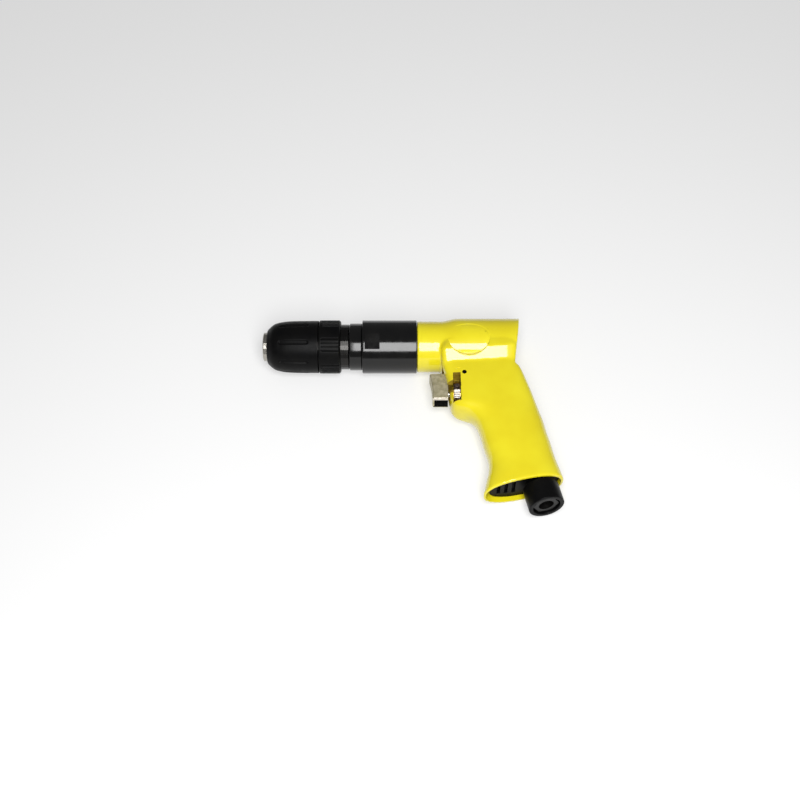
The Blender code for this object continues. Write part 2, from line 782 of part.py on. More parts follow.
def make_spindle(axis):
    shoulder = CAP_BEARING_START - GAP
    tap_end = CHUCK_BORE_DEPTH + SCREW_LENGTH + OVERCUT
    spindle = turned(
        "spindle",
        [
            (PLANET_2_START - GAP, 0),
            (PLANET_2_START - GAP, CARRIER_RADIUS),
            (CARRIER_2_START, CARRIER_RADIUS),
            (CARRIER_2_START, SHOULDER_RADIUS),
            (CARRIER_2_START - SHOULDER_LENGTH, SHOULDER_RADIUS),
            (CARRIER_2_START - SHOULDER_LENGTH, SPINDLE_RADIUS),
            (shoulder, SPINDLE_RADIUS),
            (shoulder, SHOULDER_RADIUS),
            (NECK_END + GAP, SHOULDER_RADIUS),
            (NECK_END + GAP, SPINDLE_THREAD_RADIUS),
            (THREAD_START + GAP, SPINDLE_THREAD_RADIUS),
            (THREAD_START + GAP, SCREW_RADIUS + GAP),
            (tap_end, SCREW_RADIUS + GAP),
            (tap_end, 0),
        ],
        axis,
        STEEL,
    )
    make_pins(2, spindle, CARRIER_2_START, PLANET_2_END, axis)


def make_first_carrier(axis):
    carrier = turned(
        "first_carrier",
        rod_profile(CARRIER_1_START, CARRIER_1_START + CARRIER_WIDTH_1, CARRIER_RADIUS),
        axis,
        STEEL,
    )
    sun = extruded(
        "join_second_sun",
        [outer_gear(SUN_TEETH, 0)],
        PLANET_2_START,
        CARRIER_1_START + CARRIER_WIDTH_1 / 2,
        axis,
    )
    cut(carrier, sun, "UNION")
    make_pins(1, carrier, CARRIER_1_START, PLANET_1_END, axis)


def make_planet(stage, index, start, end, axis):
    """A planet gear on its own pin, turned so that its teeth stand in the gaps of the others."""
    turn = 2 * math.pi * index / PLANETS
    place = (PLANET_ORBIT * math.cos(turn), PLANET_ORBIT * math.sin(turn), 0)
    seat = axis_empty(f"planet_axis_{stage}_{index + 1}", axis, place)
    phase = turn + math.pi - (math.pi - SUN_TEETH * turn) / PLANET_TEETH
    outlines = [outer_gear(PLANET_TEETH, phase), circle(PIN_RADIUS + GAP)]
    extruded(f"planet_gear_{stage}_{index + 1}", outlines, start, end, seat, STEEL)


def make_ring_gear(axis):
    turn = math.pi / RING_TEETH * ((PLANET_TEETH - 1) % 2)
    bore = gear_outline(
        RING_TEETH, RING_PITCH - ADDENDUM, RING_PITCH + DEDENDUM, -BACKLASH, turn
    )
    rim = circle(RING_RADIUS, RING_TEETH)
    extruded("ring_gear", [rim, bore], RING_START, RING_END, axis, STEEL)


def make_gear_case(axis):
    seat = BEARING_RADIUS + GAP
    lip = BEARING_RADIUS - BEARING_LIP
    spigot = BEARING_RADIUS + CAP_SPIGOT_WALL
    spigot_end = GEARCASE_START + CAP_SPIGOT_LENGTH
    stop = REAR_BEARING_START + BEARING_WIDTH + GAP
    carrier_bore = CARRIER_RADIUS + 2 * GAP
    case = turned(
        "gear_case",
        [
            (GEARCASE_END, GEARCASE_RADIUS - CHAMFER),
            (GEARCASE_END - CHAMFER, GEARCASE_RADIUS),
            (GEARCASE_START + CHAMFER, GEARCASE_RADIUS),
            (GEARCASE_START, GEARCASE_RADIUS - CHAMFER),
            (GEARCASE_START, spigot + GAP),
            (spigot_end + GAP, spigot + GAP),
            (spigot_end + GAP, seat),
            (stop, seat),
            (stop, lip),
            (CARRIER_2_START - 3 * GAP, lip),
            (CARRIER_2_START - 3 * GAP, carrier_bore),
            (RING_START - GAP, carrier_bore),
            (RING_START - GAP, GEARCASE_BORE),
            (GEARCASE_END, GEARCASE_BORE),
        ],
        axis,
        GLOSS_BLACK,
    )
    flat = GEARCASE_RADIUS - FLAT_DEPTH
    outside = GEARCASE_RADIUS + OVERCUT
    tilt = axis_empty("spanner_flat_axis", axis)
    tilt.rotation_euler = (0, 0, math.pi / 2 + FLAT_TURN)
    flat_start = GEARCASE_START + FLAT_INSET
    flat_end = flat_start + FLAT_LENGTH
    for name, low, high in (("near", -outside, -flat), ("far", flat, outside)):
        corner = (low, -outside, flat_start)
        opposite = (high, outside, flat_end)
        cut(case, box("cut_flat_" + name, corner, opposite, tilt))

    turned(
        "spindle_cap",
        [
            (spigot_end, spigot),
            (GEARCASE_START - GAP, spigot),
            (GEARCASE_START - GAP, CAP_RADIUS),
            (CAP_START + CAP_CHAMFER, CAP_RADIUS),
            (CAP_START, CAP_RADIUS - CAP_CHAMFER),
            (CAP_START, SHOULDER_RADIUS + 2 * GAP),
            (CAP_BEARING_START - GAP, SHOULDER_RADIUS + 2 * GAP),
            (CAP_BEARING_START - GAP, seat),
            (spigot_end, seat),
        ],
        axis,
        GLOSS_BLACK,
    )
    shaft = SPINDLE_RADIUS + GAP
    for name, start in (("front", CAP_BEARING_START), ("rear", REAR_BEARING_START)):
        bearing("spindle_bearing_" + name, start, BEARING_WIDTH, BEARING_RADIUS, shaft, axis)
    turned(
        "bearing_spacer",
        ring_profile(
            CAP_BEARING_START + BEARING_WIDTH + GAP,
            REAR_BEARING_START - GAP,
            BEARING_RADIUS,
            BEARING_RADIUS - SPACER_WALL,
        ),
        axis,
        STEEL,
    )


# ---- vane motor ------------------------------------------------------------------------------
def make_motor(axis):
    clear = ROTOR_SHAFT_RADIUS + GAP
    pocket = ROTOR_BEARING_RADIUS + GAP
    pocket_depth = ROTOR_BEARING_WIDTH + 2 * GAP
    front_end = FRONT_PLATE_START + END_PLATE_WIDTH
    turned(
        "front_end_plate",
        [
            (front_end, LINER_RADIUS),
            (FRONT_PLATE_START, LINER_RADIUS),
            (FRONT_PLATE_START, pocket),
            (FRONT_PLATE_START + pocket_depth, pocket),
            (FRONT_PLATE_START + pocket_depth, clear),
            (front_end, clear),
        ],
        axis,
        CAST_IRON,
    )
    turned(
        "rear_end_plate",
        [
            (REAR_PLATE_END, LINER_RADIUS),
            (REAR_PLATE_START, LINER_RADIUS),
            (REAR_PLATE_START, clear),
            (REAR_PLATE_END - pocket_depth, clear),
            (REAR_PLATE_END - pocket_depth, pocket),
            (REAR_PLATE_END, pocket),
        ],
        axis,
        CAST_IRON,
    )
    for name, start in (
        ("rotor_bearing_front", FRONT_PLATE_START + GAP),
        ("rotor_bearing_rear", REAR_PLATE_END - GAP - ROTOR_BEARING_WIDTH),
    ):
        bearing(name, start, ROTOR_BEARING_WIDTH, ROTOR_BEARING_RADIUS, clear, axis)

    liner = turned(
        "cylinder_liner",
        rod_profile(LINER_START, LINER_END, LINER_RADIUS),
        axis,
        CAST_IRON,
    )
    off_centre = axis_empty("liner_bore_axis", axis, (LINER_OFFSET, 0, 0))
    bore = turned(
        "cut_liner_bore",
        rod_profile(LINER_START - OVERCUT, LINER_END + OVERCUT, LINER_BORE),
        off_centre,
    )
    cut(liner, bore)
    port = box(
        "cut_liner_port",
        (-LINER_RADIUS - OVERCUT, -LINER_PORT_WIDTH / 2, LINER_START + LINER_PORT_INSET),
        (0, LINER_PORT_WIDTH / 2, LINER_END - LINER_PORT_INSET),
        axis,
    )
    cut(liner, port)


def make_rotor(axis):
    rotor = turned(
        "rotor",
        [
            (REAR_PLATE_END - GAP, 0),
            (REAR_PLATE_END - GAP, ROTOR_SHAFT_RADIUS),
            (LINER_END - GAP, ROTOR_SHAFT_RADIUS),
            (LINER_END - GAP, ROTOR_RADIUS),
            (LINER_START + GAP, ROTOR_RADIUS),
            (LINER_START + GAP, ROTOR_SHAFT_RADIUS),
            (PLANET_1_END + PINION_ROOT, ROTOR_SHAFT_RADIUS),
            (PLANET_1_END + PINION_ROOT, 0),
        ],
        axis,
        DARK_STEEL,
    )
    pinion = extruded(
        "join_pinion",
        [outer_gear(SUN_TEETH, 0)],
        PLANET_1_START,
        PLANET_1_END + PINION_ROOT + OVERCUT,
        axis,
    )
    cut(rotor, pinion, "UNION")
    slot_half = VANE_THICKNESS / 2 + GAP / 2
    outer = ROTOR_RADIUS - GAP / 2
    inner = outer - VANE_DEPTH
    for index in range(VANES):
        turn = axis_empty(f"vane_axis_{index + 1}", axis)
        turn.rotation_euler = (0, 0, 2 * math.pi * (index + 0.5) / VANES)
        slot = box(
            f"cut_vane_slot_{index + 1}",
            (inner - GAP, -slot_half, LINER_START - OVERCUT),
            (ROTOR_RADIUS + OVERCUT, slot_half, LINER_END + OVERCUT),
            turn,
        )
        cut(rotor, slot)
        box(
            f"vane_{index + 1}",
            (inner, -VANE_THICKNESS / 2, LINER_START + GAP),
            (outer, VANE_THICKNESS / 2, LINER_END - GAP),
            turn,
            VANE_MATERIAL,
        )


# ---- housing ---------------------------------------------------------------------------------
def body_ring(x, half_height, half_width, squareness):
    centre = Vector((x, 0, 0))
    return ellipse_ring(
        centre, Vector((0, half_height, 0)), Vector((0, 0, half_width)), squareness, ROUND
    )


def make_housing(tool, barrel, valve, inlet):
    rise_start = HOUSING_START + COLLAR_LENGTH
    rise_end = rise_start + RISE_LENGTH
    full = (BODY_HALF_HEIGHT, BODY_HALF_WIDTH, 2.5)
    rings = [
        body_ring(HOUSING_START, COLLAR_RADIUS - CHAMFER, COLLAR_RADIUS - CHAMFER, 2),
        body_ring(HOUSING_START + CHAMFER, COLLAR_RADIUS, COLLAR_RADIUS, 2),
        body_ring(rise_start, COLLAR_RADIUS, COLLAR_RADIUS, 2),
    ]
    for share in (0.25, 0.5, 0.75):
        ease = share * share * (3 - 2 * share)
        rings.append(
            body_ring(
                rise_start + share * RISE_LENGTH,
                COLLAR_RADIUS + ease * (BODY_HALF_HEIGHT - COLLAR_RADIUS),
                COLLAR_RADIUS + ease * (BODY_HALF_WIDTH - COLLAR_RADIUS),
                2 + 0.5 * ease,
            )
        )
    rings.append(body_ring(rise_end, *full))
    rings.append(body_ring(HOUSING_END + 0.010, *full))
    housing = lofted("motor_housing", rings, tool, YELLOW)
    handle = lofted("join_handle", [handle_ring(s) for s in HANDLE_SECTIONS], tool)
    cut(housing, handle, "UNION")

    spigot = turned(
        "join_spigot",
        ring_profile(SPIGOT_START, HOUSING_START + 0.004, SPIGOT_RADIUS, MOTOR_BORE - OVERCUT),
        barrel,
    )
    cut(housing, spigot, "UNION")

    rear = axis_empty("rear_face", tool, (HOUSING_END, BODY_HALF_HEIGHT, 0))
    rear.rotation_euler = (0, 0, -REAR_SLANT)
    cut(housing, box("cut_rear", (0, -0.049, -0.05), (0.05, 0.03, 0.05), rear))

    motor_bore = turned(
        "cut_motor_bore",
        [
            (MOTOR_BORE_END + REAR_RECESS, 0),
            (MOTOR_BORE_END + REAR_RECESS, MOTOR_BORE - REAR_LEDGE),
            (MOTOR_BORE_END, MOTOR_BORE - REAR_LEDGE),
            (MOTOR_BORE_END, MOTOR_BORE),
            (SPIGOT_START - OVERCUT, MOTOR_BORE),
            (SPIGOT_START - OVERCUT, 0),
        ],
        barrel,
    )
    cut(housing, motor_bore)
    cut_trigger_pocket(housing, tool, valve)
    cut_handle_cavity(housing, tool, valve, inlet)


def cut_trigger_pocket(housing, tool, valve):
    side = TRIGGER_HALF_WIDTH + GAP
    outside = BODY_HALF_WIDTH + 8 * OVERCUT
    pocket_end = REVERSE_START - GAP
    pocket = box(
        "cut_trigger_pocket",
        (HOUSING_START + 0.004, -TRIGGER_BOTTOM - 2 * GAP, -side),
        (pocket_end + GAP / 2, -TRIGGER_TOP + 2 * GAP, side),
        tool,
    )
    cut(housing, pocket)
    bores = turned(
        "cut_valve_bores",
        [
            (BUSHING_END + GAP, 0),
            (BUSHING_END + GAP, BUSHING_RADIUS + GAP),
            (BUSHING_START + BUSHING_FLANGE_WIDTH + GAP, BUSHING_RADIUS + GAP),
            (BUSHING_START + BUSHING_FLANGE_WIDTH + GAP, BUSHING_FLANGE_RADIUS + GAP),
            (pocket_end, BUSHING_FLANGE_RADIUS + GAP),
            (pocket_end, 0),
        ],
        valve,
    )
    cut(housing, bores)
    slot = box(
        "cut_lever_slot",
        (REVERSE_START - GAP, VALVE_Y - SLOT_BELOW, SLOT_DEPTH_Z),
        (REVERSE_END, VALVE_Y + SLOT_ABOVE, outside),
        tool,
        bevel=CHAMFER,
    )
    cut(housing, slot)
    step = box(
        "cut_slot_step",
        (REVERSE_START - GAP, VALVE_Y + SLOT_ABOVE - OVERCUT, SLOT_STEP_Z),
        (REVERSE_END, VALVE_Y + SLOT_ABOVE + SLOT_STEP, outside),
        tool,
    )
    cut(housing, step)
    room = box(
        "cut_lever_screw_room",
        (REVERSE_START - GAP, VALVE_Y, SLOT_DEPTH_Z),
        (REVERSE_END, VALVE_Y + LEVER_SHELF + LEVER_SCREW_HEIGHT + GAP, SLOT_ROOM_Z),
        tool,
    )
    cut(housing, room)
    notch = box(
        "cut_slot_notch",
        (HOUSING_START + 0.015, VALVE_Y - NOTCH_BELOW, TRIGGER_HALF_WIDTH - OVERCUT),
        (REVERSE_START + 0.0015, VALVE_Y + NOTCH_ABOVE, outside),
        tool,
    )
    cut(housing, notch)
    pin_axis = axis_empty("cross_pin_axis", tool, (CROSS_PIN_X, CROSS_PIN_Y, 0), (0, 0, 1))
    pin_hole = turned(
        "cut_cross_pin",
        rod_profile(-outside, outside, CROSS_PIN_RADIUS + GAP),
        pin_axis,
        sides=SMALL_ROUND,
    )
    cut(housing, pin_hole)
    turned(
        "cross_pin",
        tapered_rod_profile(-CROSS_PIN_LENGTH / 2, CROSS_PIN_LENGTH / 2, CROSS_PIN_RADIUS, GAP),
        pin_axis,
        DARK_STEEL,
        sides=SMALL_ROUND,
    )
    make_throttle_bushing(valve, pin_hole)


def cut_handle_cavity(housing, tool, valve, inlet):
    """The exhaust chamber inside the handle, open at the mouth, and the passages above it."""
    inner = [handle_ring(s, HANDLE_WALL) for s in HANDLE_SECTIONS if s[1] < CAVITY_TOP]
    inner.append(handle_ring(section_at(MOUTH_HEIGHT - 0.004), HANDLE_WALL))
    cut(housing, lofted("cut_cavity", inner, tool))

    seat_end = INLET_LENGTH + HEX_LENGTH
    passage_end = -INLET_END_Y / math.cos(HANDLE_TILT)
    passage = turned(
        "cut_inlet_passage",
        [
            (passage_end, 0),
            (passage_end, PASSAGE_RADIUS),
            (seat_end, PASSAGE_RADIUS),
            (seat_end, INLET_RADIUS + GAP),
            (FELT_START, INLET_RADIUS + GAP),
            (FELT_START, 0),
        ],
        inlet,
        sides=SMALL_ROUND,
    )
    cut(housing, passage)
    for side, name in ((-1, "cut_exhaust_left"), (1, "cut_exhaust_right")):
        foot = INLET_END + INLET_UP * (FELT_START + 0.030)
        place = (foot.x - 0.004, foot.y, side * DUCT_SPREAD)
        start = axis_empty(name + "_axis", tool, place, INLET_UP)
        duct = turned(name, rod_profile(0, DUCT_LENGTH, DUCT_RADIUS), start, sides=12)
        cut(housing, duct)


# ---- trigger and valves ----------------------------------------------------------------------
def make_throttle_bushing(valve, pin_hole):
    flange_end = BUSHING_START + BUSHING_FLANGE_WIDTH
    bushing = turned(
        "throttle_bushing",
        [
            (BUSHING_END, BUSHING_RADIUS),
            (flange_end, BUSHING_RADIUS),
            (flange_end, BUSHING_FLANGE_RADIUS),
            (BUSHING_START, BUSHING_FLANGE_RADIUS),
            (BUSHING_START, STEM_RADIUS + GAP),
            (STEM_END - STEM_SEAT, STEM_RADIUS + GAP),
            (STEM_END - STEM_SEAT, BUSHING_BORE),
            (BUSHING_END, BUSHING_BORE),
        ],
        valve,
        BRASS,
        sides=24,
    )
    cut(bushing, pin_hole)
    port_z = INLET_END.x + INLET_END_Y * math.tan(HANDLE_TILT)
    port = box(
        "cut_bushing_port",
        (-BUSHING_RADIUS - OVERCUT, -BUSHING_PORT / 2, port_z - BUSHING_PORT / 2),
        (0, BUSHING_PORT / 2, port_z + BUSHING_PORT / 2),
        valve,
    )
    cut(bushing, port)


def make_trigger(tool, valve):
    rear = TRIGGER_END
    outline = [
        (rear, -TRIGGER_TOP),
        (TRIGGER_START + TRIGGER_CORNER, -TRIGGER_TOP),
        (TRIGGER_START, -TRIGGER_TOP - TRIGGER_CORNER),
        (TRIGGER_START + 0.0009, -TRIGGER_TOP - 0.0100),
        (TRIGGER_START + 0.0017, -TRIGGER_TOP - 0.0200),
        (TRIGGER_START + 0.0021, -TRIGGER_BOTTOM + TRIGGER_CORNER),
        (TRIGGER_START + 0.0021 + TRIGGER_CORNER, -TRIGGER_BOTTOM),
        (rear, -TRIGGER_BOTTOM),
    ]
    half = TRIGGER_HALF_WIDTH
    trigger = extruded("trigger", [outline], -half, half, tool, ALUMINIUM)
    edge = trigger.modifiers.new("edges", "BEVEL")
    edge.width = CHAMFER
    edge.segments = 2
    edge.limit_method = "ANGLE"
    edge.angle_limit = math.radians(50)
    socket = turned(
        "cut_stem_socket",
        rod_profile(rear - STEM_SOCKET, rear + OVERCUT, STEM_RADIUS + GAP),
        valve,
        sides=SMALL_ROUND,
    )
    cut(trigger, socket)
    turned(
        "trigger_stem",
        tapered_rod_profile(rear - STEM_SOCKET + GAP, STEM_END, STEM_RADIUS, GAP),
        valve,
        STEEL,
        sides=SMALL_ROUND,
    )
    turned(
        "throttle_valve",
        rod_profile(STEM_END + GAP, STEM_END + GAP + POPPET_LENGTH, BUSHING_BORE - GAP),
        valve,
        RUBBER,
        sides=SMALL_ROUND,
    )


def make_valve_spring(valve):
    """A coil spring between the throttle valve and the blind end of the valve bore."""
    curve = bpy.data.curves.new("valve_spring", "CURVE")
    curve.dimensions = "3D"
    curve.bevel_depth = SPRING_WIRE
    curve.bevel_resolution = 1
    curve.use_fill_caps = True
    start = STEM_END + POPPET_LENGTH + 2 * GAP + SPRING_WIRE
    end = BUSHING_END - SPRING_WIRE
    radius = BUSHING_BORE - 2 * GAP - SPRING_WIRE
    count = 12 * SPRING_TURNS
    spline = curve.splines.new("POLY")
    spline.points.add(count)
    for i, point in enumerate(spline.points):
        turn = 2 * math.pi * SPRING_TURNS * i / count
        z = start + (end - start) * i / count
        point.co = (radius * math.cos(turn), radius * math.sin(turn), z, 1)
    spring = bpy.data.objects.new("valve_spring", curve)
    PARTS.objects.link(spring)
    spring.parent = valve
    curve.materials.append(STEEL)


def polar(radius, degrees):
    """A point in the valve frame, at an angle measured from the tool's +Z towards the barrel."""
    turn = math.radians(degrees)
    return (radius * math.sin(turn), radius * math.cos(turn))


def arc(radius, start, end, steps):
    return [polar(radius, start + (end - start) * i / steps) for i in range(steps + 1)]


def make_reverse_valve(valve):
    drum = turned(
        "reverse_valve",
        ring_profile(REVERSE_START, REVERSE_END - GAP, REVERSE_RADIUS, STEM_RADIUS + GAP),
        valve,
        BRASS,
        sides=24,
    )
    depth = REVERSE_RADIUS / 2
    for name, height in (("near", -0.0059), ("far", 0.0059)):
        corner = (height - REVERSE_PORT / 2, -REVERSE_RADIUS - OVERCUT, REVERSE_START - OVERCUT)
        opposite = (height + REVERSE_PORT / 2, -depth, REVERSE_END + OVERCUT)
        cut(drum, box("cut_reverse_port_" + name, corner, opposite, valve))
    tab = math.degrees(LEVER_TILT)
    inner = REVERSE_RADIUS + GAP
    shelf = LEVER_SHELF
    outline = arc(inner, -tab - 13, 12, 8) + arc(shelf, 12, -tab + 14, 4)
    for ridge in (9.0, 3.0, -3.0, -9.0):
        outline.append(polar(LEVER_REACH, -tab + ridge + 2.2))
        outline.append(polar(LEVER_REACH, -tab + ridge - 1.2))
        if ridge > -9.0:
            outline.append(polar(LEVER_REACH - LEVER_KNURL, -tab + ridge - 2.5))
    outline.append(polar(LEVER_REACH - LEVER_KNURL, -tab - 12.5))
    extruded(
        "reverse_lever",
        [outline],
        REVERSE_START + GAP,
        REVERSE_END - 3 * GAP,
        valve,
        BRIGHT_STEEL,
    )
    screw_axis = axis_empty(
        "lever_screw_axis",
        valve,
        (0, 0, (REVERSE_START + REVERSE_END) / 2),
        (*polar(1, 0), 0),
    )
    turned(
        "lever_screw",
        tapered_rod_profile(shelf + GAP, shelf + LEVER_SCREW_HEIGHT, LEVER_SCREW_RADIUS, GAP),
        screw_axis,
        DARK_STEEL,
        sides=SMALL_ROUND,
    )


# ---- inlet and exhaust -----------------------------------------------------------------------
def hexagon(half_width):
    corner = half_width / math.cos(math.pi / 6)
    return circle(corner, 6)


def make_inlet(inlet):
    shoulder = INLET_START + HEX_LENGTH
    thread_end = shoulder + INLET_THREAD_LENGTH
    end = INLET_START + INLET_LENGTH + HEX_LENGTH - O_RING_SPACE
    groove = DEFLECTOR_LENGTH - 3 * O_RING_SPACE
    groove_radius = INLET_RADIUS - O_RING_DEPTH
    bushing = turned(
        "inlet_bushing",
        [
            (end, INLET_RADIUS),
            (groove + O_RING_SPACE, INLET_RADIUS),
            (groove + O_RING_SPACE, groove_radius),
            (groove, groove_radius),
            (groove, INLET_RADIUS),
            (shoulder - OVERCUT, INLET_RADIUS),
            (shoulder - OVERCUT, INLET_BORE),
            (thread_end, INLET_BORE),
            (thread_end, INLET_TUBE_BORE),
            (end, INLET_TUBE_BORE),
        ],
        inlet,
        STEEL,
        sides=24,
    )
    hexagon_head = extruded(
        "join_inlet_hex",
        [hexagon(HEX_HALF_WIDTH), circle(INLET_BORE + 0.0001, 32)],
        INLET_START,
        shoulder,
        inlet,
    )
    cut(bushing, hexagon_head, "UNION")

    screen_end = thread_end - GAP
    screen_start = screen_end - SCREEN_LENGTH
    turned(
        "inlet_screen",
        [
            (screen_end, INLET_BORE - GAP),
            (screen_end - SCREEN_WALL, INLET_BORE - GAP),
            (screen_end - SCREEN_WALL, INLET_TUBE_BORE - GAP),
            (screen_start, SCREEN_TIP),
            (screen_start, SCREEN_TIP - CHAMFER),
            (screen_end, INLET_TUBE_BORE - SCREEN_WALL),
        ],
        inlet,
        BRASS,
        sides=SMALL_ROUND,
    )
    make_o_ring(groove + O_RING_SPACE / 2, groove_radius + O_RING_WIRE + GAP / 2, inlet)


def make_o_ring(height, major, inlet):
    """A ring of round rubber cord, with eight sides to the cord."""
    sides = 8
    ring = bmesh.new()
    rows = []
    for i in range(SMALL_ROUND):
        turn = 2 * math.pi * i / SMALL_ROUND
        row = []
        for k in range(sides):
            lean = 2 * math.pi * k / sides
            radius = major + O_RING_WIRE * math.cos(lean)
            z = height + O_RING_WIRE * math.sin(lean)
            row.append(ring.verts.new((radius * math.cos(turn), radius * math.sin(turn), z)))
        rows.append(row)
    for i, row in enumerate(rows):
        other = rows[(i + 1) % SMALL_ROUND]
        for k in range(sides):
            j = (k + 1) % sides
            ring.faces.new((row[k], other[k], other[j], row[j]))
    bmesh.ops.recalc_face_normals(ring, faces=ring.faces)
    mesh = bpy.data.meshes.new("inlet_o_ring")
    ring.to_mesh(mesh)
    ring.free()
    new_object("inlet_o_ring", mesh, inlet, RUBBER)


def inlet_ring(height, inset):
    """The handle chamber's section at a height above the inlet's end, in the inlet frame."""
    turn = INLET_UP.to_track_quat("Z", "Y").to_matrix().inverted()
    points = handle_ring(section_at(height), HANDLE_WALL + inset)
    return [turn @ (point - INLET_END) for point in points]


def make_exhaust_plate(inlet):
    """The oval plate that closes the handle round the inlet, with its outlet slots."""
    plate_end = PLATE_START + PLATE_THICKNESS
    outline = [tuple(point[:2]) for point in inlet_ring(plate_end, 2 * GAP)]
    hole = circle(INLET_RADIUS + GAP)
    plate = extruded(
        "exhaust_plate",
        [outline, hole],
        PLATE_START,
        plate_end,
        inlet,
        BLACK_PLASTIC,
    )
    for index in range(OUTLETS):
        x = DEFLECTOR_RADIUS + OUTLET_WIDTH * (1.6 + 2.1 * index)
        half = OUTLET_LENGTH / 2 - 0.0012 * index
        slot = box(
            f"cut_outlet_{index + 1}",
            (x, -half, PLATE_START - OVERCUT),
            (x + OUTLET_WIDTH, half, plate_end + OVERCUT),
            inlet,
        )
        cut(plate, slot)
    layers = [FELT_START + FELT_THICKNESS * share for share in (0, 0.5, 1)]
    felt = lofted("silencer_felt", [inlet_ring(z, 3 * GAP) for z in layers], inlet, FELT)
    felt_hole = turned(
        "cut_felt",
        rod_profile(FELT_START - OVERCUT, layers[-1] + OVERCUT, INLET_RADIUS + GAP),
        inlet,
        sides=SMALL_ROUND,
    )
    cut(felt, felt_hole)


def make_deflector(inlet):
    bore = INLET_RADIUS + GAP
    counterbore = HEX_HALF_WIDTH / math.cos(math.pi / 6) + 2 * GAP
    step = INLET_START + HEX_LENGTH + GAP
    chamber = step + DEFLECTOR_FLOOR
    rim = MOUTH_HEIGHT - 2 * GAP
    deflector = turned(
        "exhaust_deflector",
        [
            (rim, DEFLECTOR_RADIUS),
            (DEFLECTOR_CHAMFER, DEFLECTOR_RADIUS),
            (0, DEFLECTOR_RADIUS - DEFLECTOR_CHAMFER),
            (0, counterbore),
            (step, counterbore),
            (step, bore),
            (DEFLECTOR_LENGTH, bore),
            (DEFLECTOR_LENGTH, bore + DEFLECTOR_WALL),
            (chamber, bore + DEFLECTOR_WALL),
            (chamber, DEFLECTOR_RADIUS - DEFLECTOR_WALL),
            (rim, DEFLECTOR_RADIUS - DEFLECTOR_WALL),
        ],
        inlet,
        BLACK_PLASTIC,
    )
    frame = axis_empty("deflector_window", inlet)
    frame.rotation_euler = (0, 0, DEFLECTOR_WINDOW_TURN)
    window = box(
        "cut_deflector_window",
        (bore + DEFLECTOR_WALL + GAP, -DEFLECTOR_WINDOW_WIDTH / 2, chamber + GAP),
        (DEFLECTOR_RADIUS + OVERCUT, DEFLECTOR_WINDOW_WIDTH / 2, rim - DEFLECTOR_WALL),
        frame,
    )
    cut(deflector, window)


# ---- assembly --------------------------------------------------------------------------------
def lay_on_floor(tool):
    """Rolls the tool about the barrel until its handle end rests too, then centres it on the floor."""
    handle_half = HANDLE_SECTIONS[-1][4]
    low_end = VALVE_DROP - HANDLE_SECTIONS[-1][1]
    reach = math.hypot(handle_half, low_end)
    roll = math.asin(BODY_HALF_WIDTH / reach) - math.atan2(handle_half, low_end)
    tool.rotation_euler = (roll, 0, 0)
    bpy.context.view_layer.update()
    depsgraph = bpy.context.evaluated_depsgraph_get()
    points = []
    for obj in PARTS.objects:
        if obj.type == "EMPTY":
            continue
        evaluated = obj.evaluated_get(depsgraph)
        mesh = evaluated.to_mesh()
        points += [obj.matrix_world @ vertex.co for vertex in mesh.vertices]
        evaluated.to_mesh_clear()
    low = [min(point[i] for point in points) for i in range(3)]
    high = [max(point[i] for point in points) for i in range(3)]
    tool.location = (-(low[0] + high[0]) / 2, -(low[1] + high[1]) / 2, -low[2])


def main():
    tool = axis_empty("tool_frame", None)
    barrel = axis_empty("barrel_axis", tool, (0, 0, 0), (1, 0, 0))
    valve = axis_empty("valve_axis", tool, (0, VALVE_Y, 0), (1, 0, 0))
    inlet = axis_empty("inlet_axis", tool, INLET_END, INLET_UP)

    make_chuck(barrel)
    make_chuck_sleeve(barrel)
    for index in range(3):
        make_jaw(index, barrel)
    make_spindle(barrel)
    make_first_carrier(barrel)
    for index in range(PLANETS):
        make_planet(1, index, PLANET_1_START, PLANET_1_END, barrel)
        make_planet(2, index, PLANET_2_START, PLANET_2_END, barrel)
    make_ring_gear(barrel)
    make_gear_case(barrel)
    make_motor(barrel)
    make_rotor(barrel)
    make_housing(tool, barrel, valve, inlet)
    make_trigger(tool, valve)
    make_valve_spring(valve)
    make_reverse_valve(valve)
    make_inlet(inlet)
    make_exhaust_plate(inlet)
    make_deflector(inlet)
    lay_on_floor(tool)


clear_scene()
PARTS = new_collection("air_drill")
CUTTERS = new_collection("cutters")
YELLOW = new_material("yellow_enamel", (0.82, 0.70, 0.03), 0.25, 0.0)
GLOSS_BLACK = new_material("black_enamel", (0.006, 0.006, 0.007), 0.2, 0.0)
BLACK_PLASTIC = new_material("black_plastic", (0.012, 0.012, 0.013), 0.5, 0.0)
STEEL = new_material("machined_steel", (0.55, 0.54, 0.52), 0.3, 1.0)
BRIGHT_STEEL = new_material("bright_steel", (0.75, 0.70, 0.62), 0.25, 1.0)
DARK_STEEL = new_material("dark_steel", (0.10, 0.10, 0.10), 0.4, 1.0)
CAST_IRON = new_material("ground_cast_iron", (0.30, 0.30, 0.30), 0.4, 1.0)
BRASS = new_material("brass", (0.60, 0.42, 0.12), 0.3, 1.0)
ALUMINIUM = new_material("cast_aluminium", (0.42, 0.39, 0.32), 0.45, 1.0)
RUBBER = new_material("rubber", (0.02, 0.02, 0.02), 0.7, 0.0)
FELT = new_material("felt", (0.25, 0.24, 0.22), 0.95, 0.0)
VANE_MATERIAL = new_material("vane_laminate", (0.20, 0.11, 0.05), 0.6, 0.0)
main()
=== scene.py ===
"""Looks of a pistol-grip reversible air drill with a keyless chuck, on its side on a pale floor.

Shapes are built in the tool's own frame, in metres: +X back from the chuck's nose along the
barrel axis, +Y up from the handle, +Z out of the side that carries the reverse lever.
"""

import json
import math

import bmesh
import bpy
import numpy as np
from mathutils import Matrix, Vector


